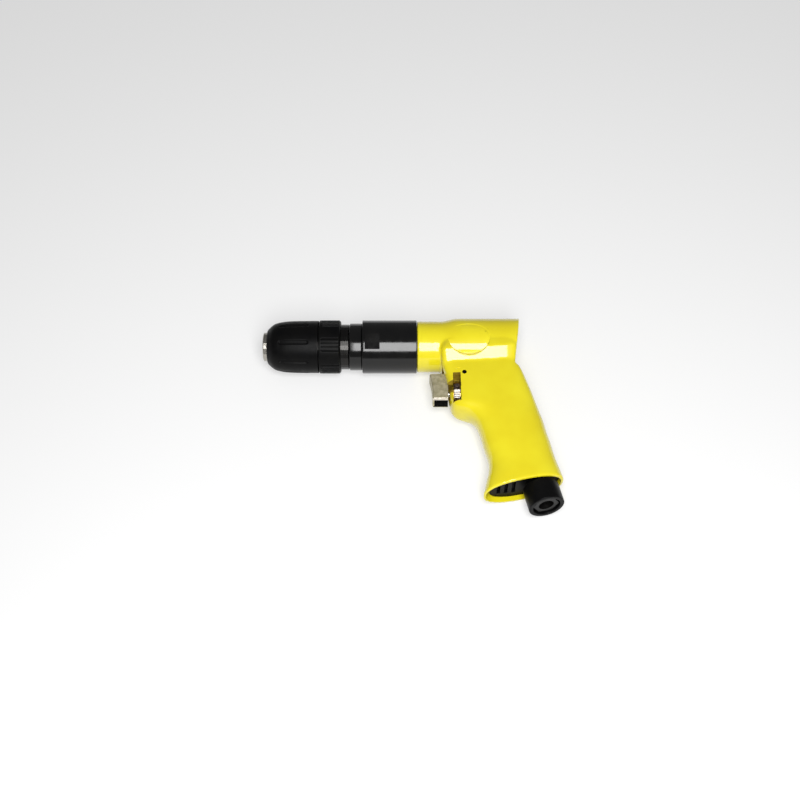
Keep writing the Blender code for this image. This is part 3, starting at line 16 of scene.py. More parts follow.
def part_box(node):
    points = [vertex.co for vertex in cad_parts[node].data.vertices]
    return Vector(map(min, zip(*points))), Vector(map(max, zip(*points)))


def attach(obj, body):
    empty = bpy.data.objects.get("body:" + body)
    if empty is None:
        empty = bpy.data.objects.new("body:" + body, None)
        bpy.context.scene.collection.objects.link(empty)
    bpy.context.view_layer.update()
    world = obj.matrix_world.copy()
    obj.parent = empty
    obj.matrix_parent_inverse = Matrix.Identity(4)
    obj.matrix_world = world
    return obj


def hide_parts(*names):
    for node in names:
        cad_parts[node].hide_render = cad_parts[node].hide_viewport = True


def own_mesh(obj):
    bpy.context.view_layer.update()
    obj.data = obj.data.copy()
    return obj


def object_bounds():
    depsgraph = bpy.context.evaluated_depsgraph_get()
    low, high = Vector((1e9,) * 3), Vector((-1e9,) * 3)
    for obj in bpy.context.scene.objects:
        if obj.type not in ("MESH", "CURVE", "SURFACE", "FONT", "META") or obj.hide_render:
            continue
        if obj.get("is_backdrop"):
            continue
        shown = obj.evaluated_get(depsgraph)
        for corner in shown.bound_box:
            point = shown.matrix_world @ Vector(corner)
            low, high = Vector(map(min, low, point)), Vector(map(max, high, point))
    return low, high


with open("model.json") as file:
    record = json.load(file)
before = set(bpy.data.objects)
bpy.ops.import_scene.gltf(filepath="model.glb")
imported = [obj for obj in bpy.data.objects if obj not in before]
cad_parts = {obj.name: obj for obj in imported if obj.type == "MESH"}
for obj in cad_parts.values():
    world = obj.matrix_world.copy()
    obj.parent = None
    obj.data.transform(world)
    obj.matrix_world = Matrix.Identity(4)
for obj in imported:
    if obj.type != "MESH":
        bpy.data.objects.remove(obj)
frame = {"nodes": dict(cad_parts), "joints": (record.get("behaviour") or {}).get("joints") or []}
cad_low, cad_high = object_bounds()
nodes = frame["nodes"]
joints = {joint["name"]: joint for joint in frame["joints"]}

# ---- the tool's frame ------------------------------------------------------------------------
barrel_point = Vector(joints["spindle_spin"]["pos_m"])
valve_point = Vector(joints["reverse_turn"]["pos_m"])
inlet_point = Vector(joints["deflector_turn"]["pos_m"])
inlet_axis = Vector(joints["deflector_turn"]["axis"]).normalized()
tool_y = barrel_point - valve_point
tool_y.x = 0
tool_y.normalize()
tool_z = Vector((1, 0, 0)).cross(tool_y)
nose = Vector((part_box("chuck_body")[0].x, barrel_point.y, barrel_point.z))
TOOL = Matrix.Translation(nose) @ Matrix((Vector((1, 0, 0)), tool_y, tool_z)).transposed().to_4x4()
TO_TOOL = TOOL.inverted()
INLET = TO_TOOL @ inlet_point
INLET_UP = (TO_TOOL.to_3x3() @ inlet_axis).normalized()
VALVE_Y = (TO_TOOL @ valve_point).y


def tool_box(node):
    """A CAD node's lowest and highest corner in the tool's frame."""
    points = [TO_TOOL @ vertex.co for vertex in nodes[node].data.vertices]
    low = Vector([min(point[i] for point in points) for i in range(3)])
    high = Vector([max(point[i] for point in points) for i in range(3)])
    return low, high


# ---- camera ----------------------------------------------------------------------------------
ELEVATION = math.radians(55)
LOOK_AT = Vector((0.1101, -0.0524, 0))
DISTANCE = 0.9883
FOCAL_LENGTH = 56.59
BACK = Vector((0, -math.cos(ELEVATION), math.sin(ELEVATION)))
UP = Vector((0, math.sin(ELEVATION), math.cos(ELEVATION)))
camera_data = bpy.data.cameras.new("camera")
camera_data.lens = FOCAL_LENGTH
camera_data.sensor_width = 36
camera_data.clip_start = 0.02
camera = bpy.data.objects.new("camera", camera_data)
bpy.context.scene.collection.objects.link(camera)
turn = Matrix((Vector((1, 0, 0)), UP, BACK)).transposed().to_4x4()
camera.matrix_world = TOOL @ Matrix.Translation(LOOK_AT + BACK * DISTANCE) @ turn
bpy.context.scene.camera = camera


# ---- materials -------------------------------------------------------------------------------
def surface(name, colour, roughness, metallic=0.0, coat=0.0, coat_roughness=0.03, specular=0.5):
    """A material whose plain values sit on the shader's own sockets."""
    material = bpy.data.materials.new(name)
    material.use_nodes = True
    shader = material.node_tree.nodes["Principled BSDF"]
    shader.inputs["Base Color"].default_value = (*colour, 1)
    shader.inputs["Roughness"].default_value = roughness
    shader.inputs["Metallic"].default_value = metallic
    shader.inputs["Coat Weight"].default_value = coat
    shader.inputs["Coat Roughness"].default_value = coat_roughness
    shader.inputs["Specular IOR Level"].default_value = specular
    return material


def noise_node(material, scale, detail=4.0, stretch=(1, 1, 1)):
    """A noise pattern fixed to the object; scale is in cells per metre."""
    tree = material.node_tree
    place = tree.nodes.new("ShaderNodeTexCoord")
    mapping = tree.nodes.new("ShaderNodeMapping")
    mapping.inputs["Scale"].default_value = stretch
    texture = tree.nodes.new("ShaderNodeTexNoise")
    texture.inputs["Scale"].default_value = scale
    texture.inputs["Detail"].default_value = detail
    tree.links.new(place.outputs["Object"], mapping.inputs["Vector"])
    tree.links.new(mapping.outputs["Vector"], texture.inputs["Vector"])
    return texture


def tint(material, scale, low, high, detail=4.0, stretch=(1, 1, 1), spread=(0.35, 0.65)):
    """Colour that drifts between two tones over a noise pattern."""
    tree = material.node_tree
    texture = noise_node(material, scale, detail, stretch)
    ramp = tree.nodes.new("ShaderNodeValToRGB")
    ramp.color_ramp.elements[0].position = spread[0]
    ramp.color_ramp.elements[0].color = (*low, 1)
    ramp.color_ramp.elements[1].position = spread[1]
    ramp.color_ramp.elements[1].color = (*high, 1)
    tree.links.new(texture.outputs["Fac"], ramp.inputs["Fac"])
    tree.links.new(ramp.outputs["Color"], tree.nodes["Principled BSDF"].inputs["Base Color"])


def gloss(material, scale, low, high, detail=3.0, stretch=(1, 1, 1)):
    """Roughness that varies over a noise pattern, as handling and casting leave it."""
    tree = material.node_tree
    texture = noise_node(material, scale, detail, stretch)
    span = tree.nodes.new("ShaderNodeMapRange")
    span.inputs["From Min"].default_value = 0.3
    span.inputs["From Max"].default_value = 0.7
    span.inputs["To Min"].default_value = low
    span.inputs["To Max"].default_value = high
    tree.links.new(texture.outputs["Fac"], span.inputs["Value"])
    tree.links.new(span.outputs["Result"], tree.nodes["Principled BSDF"].inputs["Roughness"])


def grain(material, scale, height, detail=3.0, stretch=(1, 1, 1), coat=False):
    """Fine relief: orange peel on paint, grit on castings, tool lines on turned metal."""
    tree = material.node_tree
    texture = noise_node(material, scale, detail, stretch)
    bump = tree.nodes.new("ShaderNodeBump")
    bump.inputs["Strength"].default_value = 1.0
    bump.inputs["Distance"].default_value = height
    tree.links.new(texture.outputs["Fac"], bump.inputs["Height"])
    shader = tree.nodes["Principled BSDF"]
    tree.links.new(bump.outputs["Normal"], shader.inputs["Normal"])
    if coat:
        tree.links.new(bump.outputs["Normal"], shader.inputs["Coat Normal"])


enamel = surface(
    "yellow_enamel_look", (0.84, 0.72, 0.012), 0.34, coat=1.0, coat_roughness=0.05, specular=0.2
)
tint(enamel, 38, (0.82, 0.69, 0.010), (0.87, 0.76, 0.016), detail=2.0)
gloss(enamel, 60, 0.30, 0.42)
grain(enamel, 900, 0.0000045, detail=1.0, coat=True)

# painted shade: a darker brown yellow for the insides of the slot, the notch and the trigger
# pocket
recess = surface("slot_painted_shade_look", (0.30, 0.20, 0.012), 0.6)
tint(recess, 300, (0.24, 0.15, 0.008), (0.38, 0.27, 0.016))
grain(recess, 900, 0.00003)

gloss_black = surface("black_enamel_look", (0.0022, 0.0022, 0.0024), 0.16, specular=0.42)
tint(gloss_black, 90, (0.0024, 0.0024, 0.0026), (0.0042, 0.004, 0.0038))
gloss(gloss_black, 140, 0.09, 0.19)
grain(gloss_black, 1400, 0.000003, detail=1.0)

plastic = surface("black_plastic_look", (0.003, 0.003, 0.0033), 0.42, specular=0.09)
tint(plastic, 70, (0.0024, 0.0024, 0.0027), (0.004, 0.0039, 0.0037))
gloss(plastic, 240, 0.34, 0.48)
grain(plastic, 2600, 0.000012, detail=2.0)

deflector_black = surface("deflector_plastic_look", (0.0028, 0.0028, 0.003), 0.34, specular=0.09)
tint(deflector_black, 80, (0.0022, 0.0022, 0.0024), (0.0036, 0.0036, 0.0036))
gloss(deflector_black, 200, 0.28, 0.42)
grain(deflector_black, 2200, 0.000010, detail=2.0)

steel = surface("turned_steel_look", (0.55, 0.53, 0.50), 0.26, metallic=1.0)
tint(steel, 60, (0.46, 0.44, 0.41), (0.62, 0.60, 0.57), stretch=(14, 0.4, 0.4))
gloss(steel, 200, 0.18, 0.34, stretch=(12, 0.3, 0.3))
grain(steel, 320, 0.000010, stretch=(16, 0.1, 0.1))

# bright steel, also used on the trigger's lower edge as a painted highlight
bright = surface("bright_steel_and_painted_highlight_look", (0.78, 0.71, 0.62), 0.30, metallic=0.85)
tint(bright, 600, (0.66, 0.60, 0.52), (0.86, 0.80, 0.71))
gloss(bright, 500, 0.22, 0.40)
grain(bright, 1500, 0.000012)

dark_steel = surface("dark_steel_look", (0.10, 0.085, 0.08), 0.38, metallic=0.9)
tint(dark_steel, 400, (0.06, 0.05, 0.047), (0.15, 0.13, 0.12))
gloss(dark_steel, 500, 0.30, 0.46)
grain(dark_steel, 1400, 0.00001)

ground = surface("ground_steel_look", (0.50, 0.50, 0.50), 0.2, metallic=1.0)
tint(ground, 200, (0.42, 0.42, 0.42), (0.58, 0.58, 0.57), stretch=(6, 1, 1))
gloss(ground, 300, 0.14, 0.28)
grain(ground, 900, 0.000004)

cast_iron = surface("ground_cast_iron_look", (0.20, 0.20, 0.20), 0.45, metallic=0.8)
tint(cast_iron, 500, (0.14, 0.14, 0.14), (0.26, 0.26, 0.25))
grain(cast_iron, 1500, 0.00002)

brass = surface("brass_look", (0.63, 0.42, 0.13), 0.28, metallic=1.0)
tint(brass, 120, (0.55, 0.35, 0.09), (0.70, 0.48, 0.17))
gloss(brass, 260, 0.2, 0.36)
grain(brass, 900, 0.000006)

aluminium = surface("cast_aluminium_look", (0.46, 0.42, 0.30), 0.46, metallic=0.45)
tint(aluminium, 330, (0.38, 0.345, 0.21), (0.58, 0.525, 0.36), detail=6.0)
gloss(aluminium, 420, 0.36, 0.56)
grain(aluminium, 1300, 0.00004, detail=6.0)

rubber = surface("rubber_look", (0.012, 0.012, 0.012), 0.7)
tint(rubber, 200, (0.01, 0.01, 0.01), (0.016, 0.016, 0.016))
grain(rubber, 2000, 0.00001)

felt = surface("felt_look", (0.38, 0.36, 0.32), 0.95)
tint(felt, 900, (0.28, 0.26, 0.23), (0.46, 0.44, 0.40), detail=8.0)
grain(felt, 1600, 0.00015, detail=8.0)

# the chuck body: a pale turned nose, and a neck painted near black as painted shade, so that only
# the lamp shows in it
NOSE_END, NECK_START = 0.030, 0.040
chuck_steel_and_neck_shade = surface("chuck_steel_and_neck_shade_look", (0.3, 0.29, 0.27), 0.22, metallic=1.0)
tree = chuck_steel_and_neck_shade.node_tree
place = tree.nodes.new("ShaderNodeTexCoord")
split = tree.nodes.new("ShaderNodeSeparateXYZ")
along = tree.nodes.new("ShaderNodeMapRange")
along.inputs["From Min"].default_value = nose.x + NOSE_END
along.inputs["From Max"].default_value = nose.x + NECK_START
blend = tree.nodes.new("ShaderNodeMix")
blend.data_type = "RGBA"
blend.inputs["A"].default_value = (0.42, 0.40, 0.36, 1)
# painted shade: the neck's near-black colour stands in for dark surroundings seen in the steel
blend.inputs["B"].default_value = (0.032, 0.031, 0.030, 1)
tree.links.new(place.outputs["Object"], split.inputs["Vector"])
tree.links.new(split.outputs["X"], along.inputs["Value"])
tree.links.new(along.outputs["Result"], blend.inputs["Factor"])
tree.links.new(blend.outputs["Result"], tree.nodes["Principled BSDF"].inputs["Base Color"])
gloss(chuck_steel_and_neck_shade, 200, 0.16, 0.30, stretch=(12, 0.3, 0.3))
grain(chuck_steel_and_neck_shade, 320, 0.000010, stretch=(16, 0.1, 0.1))

# painted shade: the cross pin near black, dark as the hole that it sits in
pin_painted_shade = surface("pin_painted_shade_look", (0.004, 0.003, 0.003), 0.6, specular=0.1)
tint(pin_painted_shade, 500, (0.003, 0.0025, 0.0025), (0.006, 0.005, 0.004))

# painted shade: near black for the pin's hole, the trigger's channel and the lever's grip lines
hollow_painted_shade = surface("shaded_hollow_look", (0.006, 0.0055, 0.005), 0.8, specular=0.05)
tint(hollow_painted_shade, 400, (0.004, 0.0038, 0.0035), (0.009, 0.0085, 0.008))

# painted shade: the lever's arm and its screw painted dark brown inside the slot, a shaded copy of
# the tab's steel
lever_arm_painted_shade = surface("lever_arm_painted_shade_look", (0.085, 0.055, 0.045), 0.42, metallic=0.6)
tint(lever_arm_painted_shade, 500, (0.05, 0.032, 0.026), (0.13, 0.09, 0.075))
gloss(lever_arm_painted_shade, 600, 0.34, 0.52)

tab_bright = surface("lever_tab_look", (0.86, 0.80, 0.72), 0.38, metallic=0.2)
tint(tab_bright, 700, (0.78, 0.71, 0.62), (0.92, 0.87, 0.80))
gloss(tab_bright, 500, 0.30, 0.46)

# painted shade: the inlet bushing near black, deep in the handle's mouth
bushing_painted_shade = surface("bushing_painted_shade_look", (0.012, 0.011, 0.011), 0.35, metallic=0.7)
tint(bushing_painted_shade, 500, (0.008, 0.0075, 0.0075), (0.018, 0.017, 0.016))
gloss(bushing_painted_shade, 400, 0.28, 0.44)

# painted shade: the silencer felt near black, deep in the handle's mouth
felt_painted_shade = surface("felt_painted_shade_look", (0.008, 0.008, 0.008), 0.95, specular=0.1)
tint(felt_painted_shade, 900, (0.005, 0.005, 0.005), (0.014, 0.013, 0.012), detail=8.0)
grain(felt_painted_shade, 1500, 0.00015, detail=6.0)

laminate = surface("vane_laminate_look", (0.22, 0.11, 0.045), 0.55)
tint(laminate, 240, (0.16, 0.08, 0.03), (0.28, 0.15, 0.06), stretch=(1, 6, 6))
grain(laminate, 1500, 0.00001)

# a look for each material slot of the record, with ground steel for the rest; some nodes have
# one of their own
LOOKS = {
    "yellow_enamel": enamel,
    "black_enamel": gloss_black,
    "black_plastic": plastic,
    "machined_steel": steel,
    "bright_steel": bright,
    "dark_steel": dark_steel,
    "ground_cast_iron": cast_iron,
    "brass": brass,
    "cast_aluminium": aluminium,
    "rubber": rubber,
    "felt": felt,
    "vane_laminate": laminate,
}
for node in nodes.values():
    for place in node.material_slots:
        stem = place.material.name.split(".")[0] if place.material else ""
        place.material = LOOKS.get(stem, ground)
OWN_LOOKS = (
    ("chuck_body", chuck_steel_and_neck_shade),
    ("cross_pin", pin_painted_shade),
    ("exhaust_plate", deflector_black),
    ("inlet_bushing", bushing_painted_shade),
    ("silencer_felt", felt_painted_shade),
    ("lever_screw", lever_arm_painted_shade),
)
for name, look in OWN_LOOKS:
    for place in nodes[name].material_slots:
        place.material = look


# ---- mesh helpers ----------------------------------------------------------------------------
def make_mesh(name, points, faces):
    """An object in the scene from points and faces."""
    mesh = bpy.data.meshes.new(name)
    mesh.from_pydata([tuple(point) for point in points], [], faces)
    mesh.validate()
    obj = bpy.data.objects.new(name, mesh)
    bpy.context.scene.collection.objects.link(obj)
    return obj


def outward(obj):
    """Turns every face of a closed mesh outwards."""
    shape = bmesh.new()
    shape.from_mesh(obj.data)
    bmesh.ops.recalc_face_normals(shape, faces=shape.faces)
    shape.to_mesh(obj.data)
    shape.free()


def axis_frame(origin, direction, side=None):
    """A matrix whose Z runs along direction and whose X is as near side as it can be."""
    z = Vector(direction).normalized()
    x = Vector(side) if side is not None else Vector((0, 1, 0))
    x = (x - z * x.dot(z)).normalized()
    y = z.cross(x)
    return Matrix.Translation(Vector(origin)) @ Matrix((x, y, z)).transposed().to_4x4()


BARREL = axis_frame((0, 0, 0), (1, 0, 0))
VALVE = axis_frame((0, VALVE_Y, 0), (1, 0, 0))
INLET_FRAME = axis_frame(INLET, INLET_UP, (-1, 0, 0))


WELD = 0.0000005


def lathe(name, profile, place, sides=128, reshape=None):
    """A solid of revolution about place's Z; reshape(z, radius, angle) may change a radius."""
    points, faces = [], []
    count = len(profile)
    for i in range(sides):
        angle = 2 * math.pi * i / sides
        for z, radius in profile:
            r = reshape(z, radius, angle) if reshape else radius
            points.append(place @ Vector((r * math.cos(angle), r * math.sin(angle), z)))
    for i in range(sides):
        j = (i + 1) % sides
        for k in range(count):
            m = (k + 1) % count
            faces.append((i * count + k, j * count + k, j * count + m, i * count + m))
    obj = make_mesh(name, points, faces)
    shape = bmesh.new()
    shape.from_mesh(obj.data)
    bmesh.ops.remove_doubles(shape, verts=shape.verts, dist=WELD)
    bmesh.ops.dissolve_degenerate(shape, edges=shape.edges, dist=WELD)
    bmesh.ops.recalc_face_normals(shape, faces=shape.faces)
    shape.to_mesh(obj.data)
    shape.free()
    return obj


def smooth_profile(points, radius, steps=5):
    """Rounds each corner of a closed (z, radius) profile by a small arc."""
    result = []
    count = len(points)
    for i, point in enumerate(points):
        here = Vector(point)
        before = Vector(points[i - 1])
        after = Vector(points[(i + 1) % count])
        one, other = before - here, after - here
        if one.length < 1e-9 or other.length < 1e-9:
            result.append(tuple(here))
            continue
        trim = min(radius, one.length * 0.45, other.length * 0.45)
        start = here + one.normalized() * trim
        end = here + other.normalized() * trim
        for step in range(steps + 1):
            t = step / steps
            result.append(tuple(start * (1 - t) ** 2 + here * 2 * t * (1 - t) + end * t * t))
    return result


def filled_profile(points, step):
    """Adds points along a closed profile so that no stretch is longer than step."""
    result = []
    count = len(points)
    for i in range(count):
        a, b = Vector(points[i]), Vector(points[(i + 1) % count])
        parts = max(1, math.ceil((b - a).length / step))
        result += [tuple(a + (b - a) * k / parts) for k in range(parts)]
    return result


def tool_block(name, low, high):
    """A box between two corners, for cutters and the floor."""
    corners = [
        (x, y, z) for x in (low[0], high[0]) for y in (low[1], high[1]) for z in (low[2], high[2])
    ]
    faces = [(0, 1, 3, 2), (4, 6, 7, 5), (0, 4, 5, 1), (2, 3, 7, 6), (0, 2, 6, 4), (1, 5, 7, 3)]
    obj = make_mesh(name, corners, faces)
    outward(obj)
    return obj


def apply_modifiers(obj):
    """Replaces an object's mesh by what its modifiers make of it."""
    depsgraph = bpy.context.evaluated_depsgraph_get()
    mesh = bpy.data.meshes.new_from_object(obj.evaluated_get(depsgraph))
    obj.modifiers.clear()
    old = obj.data
    obj.data = mesh
    bpy.data.meshes.remove(old)


def boolean(obj, cutter, operation="DIFFERENCE"):
    """Cuts obj by cutter, or joins them, and removes cutter."""
    change = obj.modifiers.new("boolean", "BOOLEAN")
    change.operation = operation
    change.solver = "EXACT"
    change.object = cutter
    apply_modifiers(obj)
    bpy.data.objects.remove(cutter)


def finish_piece(obj, material, body, replaced=(), angle=32):
    """Puts a piece made in the tool's frame into place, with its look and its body.

    Points that stand past the CAD model's box by a rounding are put back on it.
    """
    obj.data.transform(TOOL)
    for vertex in obj.data.vertices:
        for axis in range(3):
            vertex.co[axis] = min(max(vertex.co[axis], cad_low[axis]), cad_high[axis])
    if material is not None:
        obj.data.materials.clear()
        obj.data.materials.append(material)
    obj.data.shade_smooth()
    obj.data.set_sharp_from_angle(angle=math.radians(angle))
    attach(obj, body)
    if replaced:
        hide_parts(*replaced)
    return obj


# ---- housing ---------------------------------------------------------------------------------
# sizes of the cast housing, the same as the CAD part's
HOUSING_START = 0.123843
HOUSING_END = 0.207243
COLLAR_RADIUS = 0.020705
BODY_HALF_HEIGHT = 0.023005
BODY_HALF_WIDTH = 0.022005
COLLAR_LENGTH = 0.0187
FLARE_LENGTH = 0.0145
REAR_SLANT = math.radians(7.2)
# x and y of the handle's front and rear edge (x from HOUSING_START), half width, squareness
HANDLE_SECTIONS = [
    (0.0187, -0.0010, 0.0796, 0.0030, 0.0190, 9.0),
    (0.0188, -0.0110, 0.0790, -0.0050, 0.0212, 9.0),
    (0.0190, -0.0158, 0.0786, -0.0108, 0.0213, 15.0),
    (0.0191, -0.0174, 0.0785, -0.0127, 0.0211, 16.0),
    (0.0195, -0.0216, 0.0784, -0.0174, 0.0181, 16.0),
    (0.0198, -0.0258, 0.0785, -0.0221, 0.0150, 12.0),
    (0.0205, -0.0284, 0.0802, -0.0252, 0.0149, 8.0),
    (0.0224, -0.0370, 0.0849, -0.0350, 0.0151, 5.2),
    (0.0243, -0.0500, 0.0894, -0.0480, 0.0150, 4.2),
    (0.0257, -0.0605, 0.0919, -0.0565, 0.0149, 3.8),
    (0.0290, -0.0650, 0.0935, -0.0620, 0.0148, 3.4),
    (0.0385, -0.0685, 0.0955, -0.0690, 0.0148, 3.0),
    (0.0445, -0.0755, 0.0975, -0.0755, 0.0148, 2.8),
    (0.0475, -0.0850, 0.0992, -0.0850, 0.0149, 2.7),
    (0.0503, -0.0980, 0.1019, -0.0960, 0.0151, 2.6),
    (0.0531, -0.1095, 0.1039, -0.1070, 0.0153, 2.6),
    (0.0530, -0.1190, 0.1060, -0.1145, 0.0155, 2.5),
    (0.0508, -0.1290, 0.1078, -0.1205, 0.0160, 2.4),
    (0.0481, -0.1408, 0.1093, -0.1271, 0.0165, 2.3),
]


def oval(centre, half_long, half_wide, squareness, count):
    """A superellipse: squareness 2 is an ellipse, and more is nearer a rectangle."""
    ring = []
    power = 2 / squareness
    for i in range(count):
        angle = 2 * math.pi * i / count
        c, s = math.cos(angle), math.sin(angle)
        along = math.copysign(abs(c) ** power, c)
        wide = math.copysign(abs(s) ** power, s)
        ring.append(centre + half_long * along + half_wide * wide)
    return ring


def loft(name, rings):
    """A closed solid through rings with the same number of points."""
    count = len(rings[0])
    points = [point for ring in rings for point in ring]
    faces = [tuple(range(count)), tuple(range((len(rings) - 1) * count, len(rings) * count))]
    for row in range(len(rings) - 1):
        for i in range(count):
            j = (i + 1) % count
            a = row * count
            faces.append((a + i, a + j, a + count + j, a + count + i))
    obj = make_mesh(name, points, faces)
    outward(obj)
    return obj


def eased(rows, steps):
    """More rows between the given ones, along smooth curves through them."""
    rows = [np.array(row) for row in rows]
    result = []
    for i in range(len(rows) - 1):
        a = rows[max(i - 1, 0)]
        b, c = rows[i], rows[i + 1]
        d = rows[min(i + 2, len(rows) - 1)]
        for k in range(steps):
            t = k / steps
            second = 2 * a - 5 * b + 4 * c - d
            third = 3 * b - a - 3 * c + d
            result.append(0.5 * (2 * b + (c - a) * t + second * t**2 + third * t**3))
    result.append(rows[-1])
    return result


def handle_section_ring(section, inset=0.0, count=96):
    """One ring of the handle, drawn inwards by inset."""
    front_x, front_y, rear_x, rear_y, half, squareness = section
    front = Vector((HOUSING_START + front_x, front_y, 0))
    rear = Vector((HOUSING_START + rear_x, rear_y, 0))
    along = rear - front
    half_long = along.normalized() * (along.length / 2 - inset)
    return oval((front + rear) / 2, half_long, Vector((0, 0, half - inset)), squareness, count)


def housing_body():
    """The barrel block: a round collar that flares into a slightly squared body."""
    rings = []
    for x in np.arange(0, COLLAR_LENGTH, 0.002):
        rings.append((HOUSING_START + float(x), COLLAR_RADIUS, COLLAR_RADIUS, 2.0))
    for step in range(21):
        share = step / 20
        ease = share * share * (3 - 2 * share)
        rings.append(
            (
                HOUSING_START + COLLAR_LENGTH + share * FLARE_LENGTH,
                COLLAR_RADIUS + ease * (BODY_HALF_HEIGHT - COLLAR_RADIUS),
                COLLAR_RADIUS + ease * (BODY_HALF_WIDTH - COLLAR_RADIUS),
                2 + 0.1 * ease,
            )
        )
    rings.append((HOUSING_END + 0.010, BODY_HALF_HEIGHT, BODY_HALF_WIDTH, 2.1))
    loops = [
        oval(Vector((x, 0, 0)), Vector((0, high, 0)), Vector((0, 0, wide)), square, 128)
        for x, high, wide, square in rings
    ]
    return loft("housing_shell", loops)


def soften(obj, rounds, weight):
    """Laplacian smoothing, where weight(x, y, z) gives each point's share from 0 to 1."""
    mesh = obj.data
    count = len(mesh.vertices)
    points = np.empty(count * 3)
    mesh.vertices.foreach_get("co", points)
    points = points.reshape(-1, 3)
    edges = np.empty(len(mesh.edges) * 2, int)
    mesh.edges.foreach_get("vertices", edges)
    edges = edges.reshape(-1, 2)
    valence = np.bincount(edges.ravel(), minlength=count).reshape(-1, 1)
    share = weight(points[:, 0], points[:, 1], points[:, 2]).reshape(-1, 1)
    for _ in range(rounds):
        total = np.zeros_like(points)
        for axis in range(3):
            total[:, axis] += np.bincount(edges[:, 0], points[edges[:, 1], axis], count)
            total[:, axis] += np.bincount(edges[:, 1], points[edges[:, 0], axis], count)
        points += share * 0.5 * (total / valence - points)
    mesh.vertices.foreach_set("co", points.ravel())
    mesh.update()


VOXEL = 0.0008
shell = housing_body()
handle = loft("handle", [handle_section_ring(s) for s in eased(HANDLE_SECTIONS, 5)])
boolean(shell, handle, "UNION")
rear_cut = tool_block("rear_cut", (0, -0.049, -0.05), (0.05, 0.03, 0.05))
rear_cut.data.transform(
    Matrix.Translation((HOUSING_END, BODY_HALF_HEIGHT, 0)) @ Matrix.Rotation(-REAR_SLANT, 4, "Z")
)
boolean(shell, rear_cut)
remesh = shell.modifiers.new("remesh", "REMESH")
remesh.mode = "VOXEL"
remesh.voxel_size = VOXEL
apply_modifiers(shell)


def everywhere(x, y, z):
    """All of the shell, to round its edges."""
    return np.ones_like(x)


def junction(x, y, z):
    """The blend between the barrel block and the handle."""
    near = np.clip(1 - np.abs(y + 0.0245) / 0.010, 0, 1)
    return near * np.clip((x - 0.1450) / 0.006, 0, 1)


def grip(x, y, z):
    """The handle's sides, away from the block above and the rim below."""
    return np.clip((-y - 0.030) / 0.008, 0, 1) * np.clip((0.126 + y) / 0.008, 0, 1)


soften(shell, 5, everywhere)
soften(shell, 50, grip)
soften(shell, 5, junction)

# the round pad, a shallow recess left bare: its middle, its half sizes and the radius that they
# are measured at, the width of its edge as a share, its depth above and the extra depth below,
# the furthest that a point may move, and the lowest z that it reaches
PAD_X, PAD_TURN = 0.1648, math.radians(15.9)
PAD_HALF_X, PAD_HALF_Y, PAD_RADIUS = 0.0168, 0.0150, 0.0245
PAD_EDGE = 0.028
PAD_DEPTH, PAD_SLOPE, PAD_DEEPEST = 0.0002, 0.0040, 0.0060
PAD_LOWEST_Z = 0.008


def pad_distance(point):
    """How far a point lies from the pad's middle over the curved side, with 1 at its rim."""
    turn = math.atan2(-point.y, point.z) - PAD_TURN
    return math.hypot((point.x - PAD_X) / PAD_HALF_X, turn * PAD_RADIUS / PAD_HALF_Y)


shape = bmesh.new()
shape.from_mesh(shell.data)
for width in (0.10, 0.06):
    rim = []
    for edge in shape.edges:
        end = edge.verts[0].co
        if end.z > PAD_LOWEST_Z and abs(pad_distance(end) - 1) < width:
            rim.append(edge)
    bmesh.ops.subdivide_edges(shape, edges=rim, cuts=1, use_grid_fill=True)
for vertex in shape.verts:
    point = vertex.co
    share = min(max((1 - pad_distance(point)) / PAD_EDGE + 0.5, 0), 1)
    if point.z < PAD_LOWEST_Z or share <= 0:
        continue
    radius = math.hypot(point.y, point.z)
    # the recess deepens towards its lower rim, which ends the lamp's highlight there
    lower = min(max((math.atan2(-point.y, point.z) - PAD_TURN - 0.25) * 1.2, 0), 1)
    depth = PAD_DEPTH + PAD_SLOPE * lower * lower
    barrel = 1 / math.hypot(
        point.y / radius / (BODY_HALF_HEIGHT - depth), point.z / radius / (BODY_HALF_WIDTH - depth)
    )
    drop = min(max(radius - barrel, 0), PAD_DEEPEST) * share * share * (3 - 2 * share)
    point.y *= 1 - drop / radius
    point.z *= 1 - drop / radius
shape.to_mesh(shell.data)
shape.free()

# hollows, as the CAD part has them
TRIGGER_HALF = 0.0065
FIT = 0.0003
PIN_RADIUS = 0.0018
WALL = 0.0021
# the slot's reach below and above the valve, and the wider room's behind its upper end
SLOT_DOWN, SLOT_UP, ROOM_UP = 0.0136, 0.0111, 0.0131
SLOT_FLOOR, ROOM_HEIGHT = 0.0016, 0.011
OUTSIDE = 0.05
side = TRIGGER_HALF + FIT
pocket_low, pocket_high = tool_box("trigger")
drum_low, drum_high = tool_box("reverse_valve")
bush_low, bush_high = tool_box("throttle_bushing")
pin_low, pin_high = tool_box("cross_pin")
pin_x, pin_y = (pin_low.x + pin_high.x) / 2, (pin_low.y + pin_high.y) / 2
slot_start, slot_end = drum_low.x - FIT, drum_high.x + FIT
slot_bottom, slot_top, room_top = VALVE_Y - SLOT_DOWN, VALVE_Y + SLOT_UP, VALVE_Y + ROOM_UP
MOTOR_BORE = [
    (0.193, 0),
    (0.193, 0.0135),
    (0.1869, 0.0135),
    (0.1869, 0.0175),
    (0.116, 0.0175),
    (0.116, 0),
]
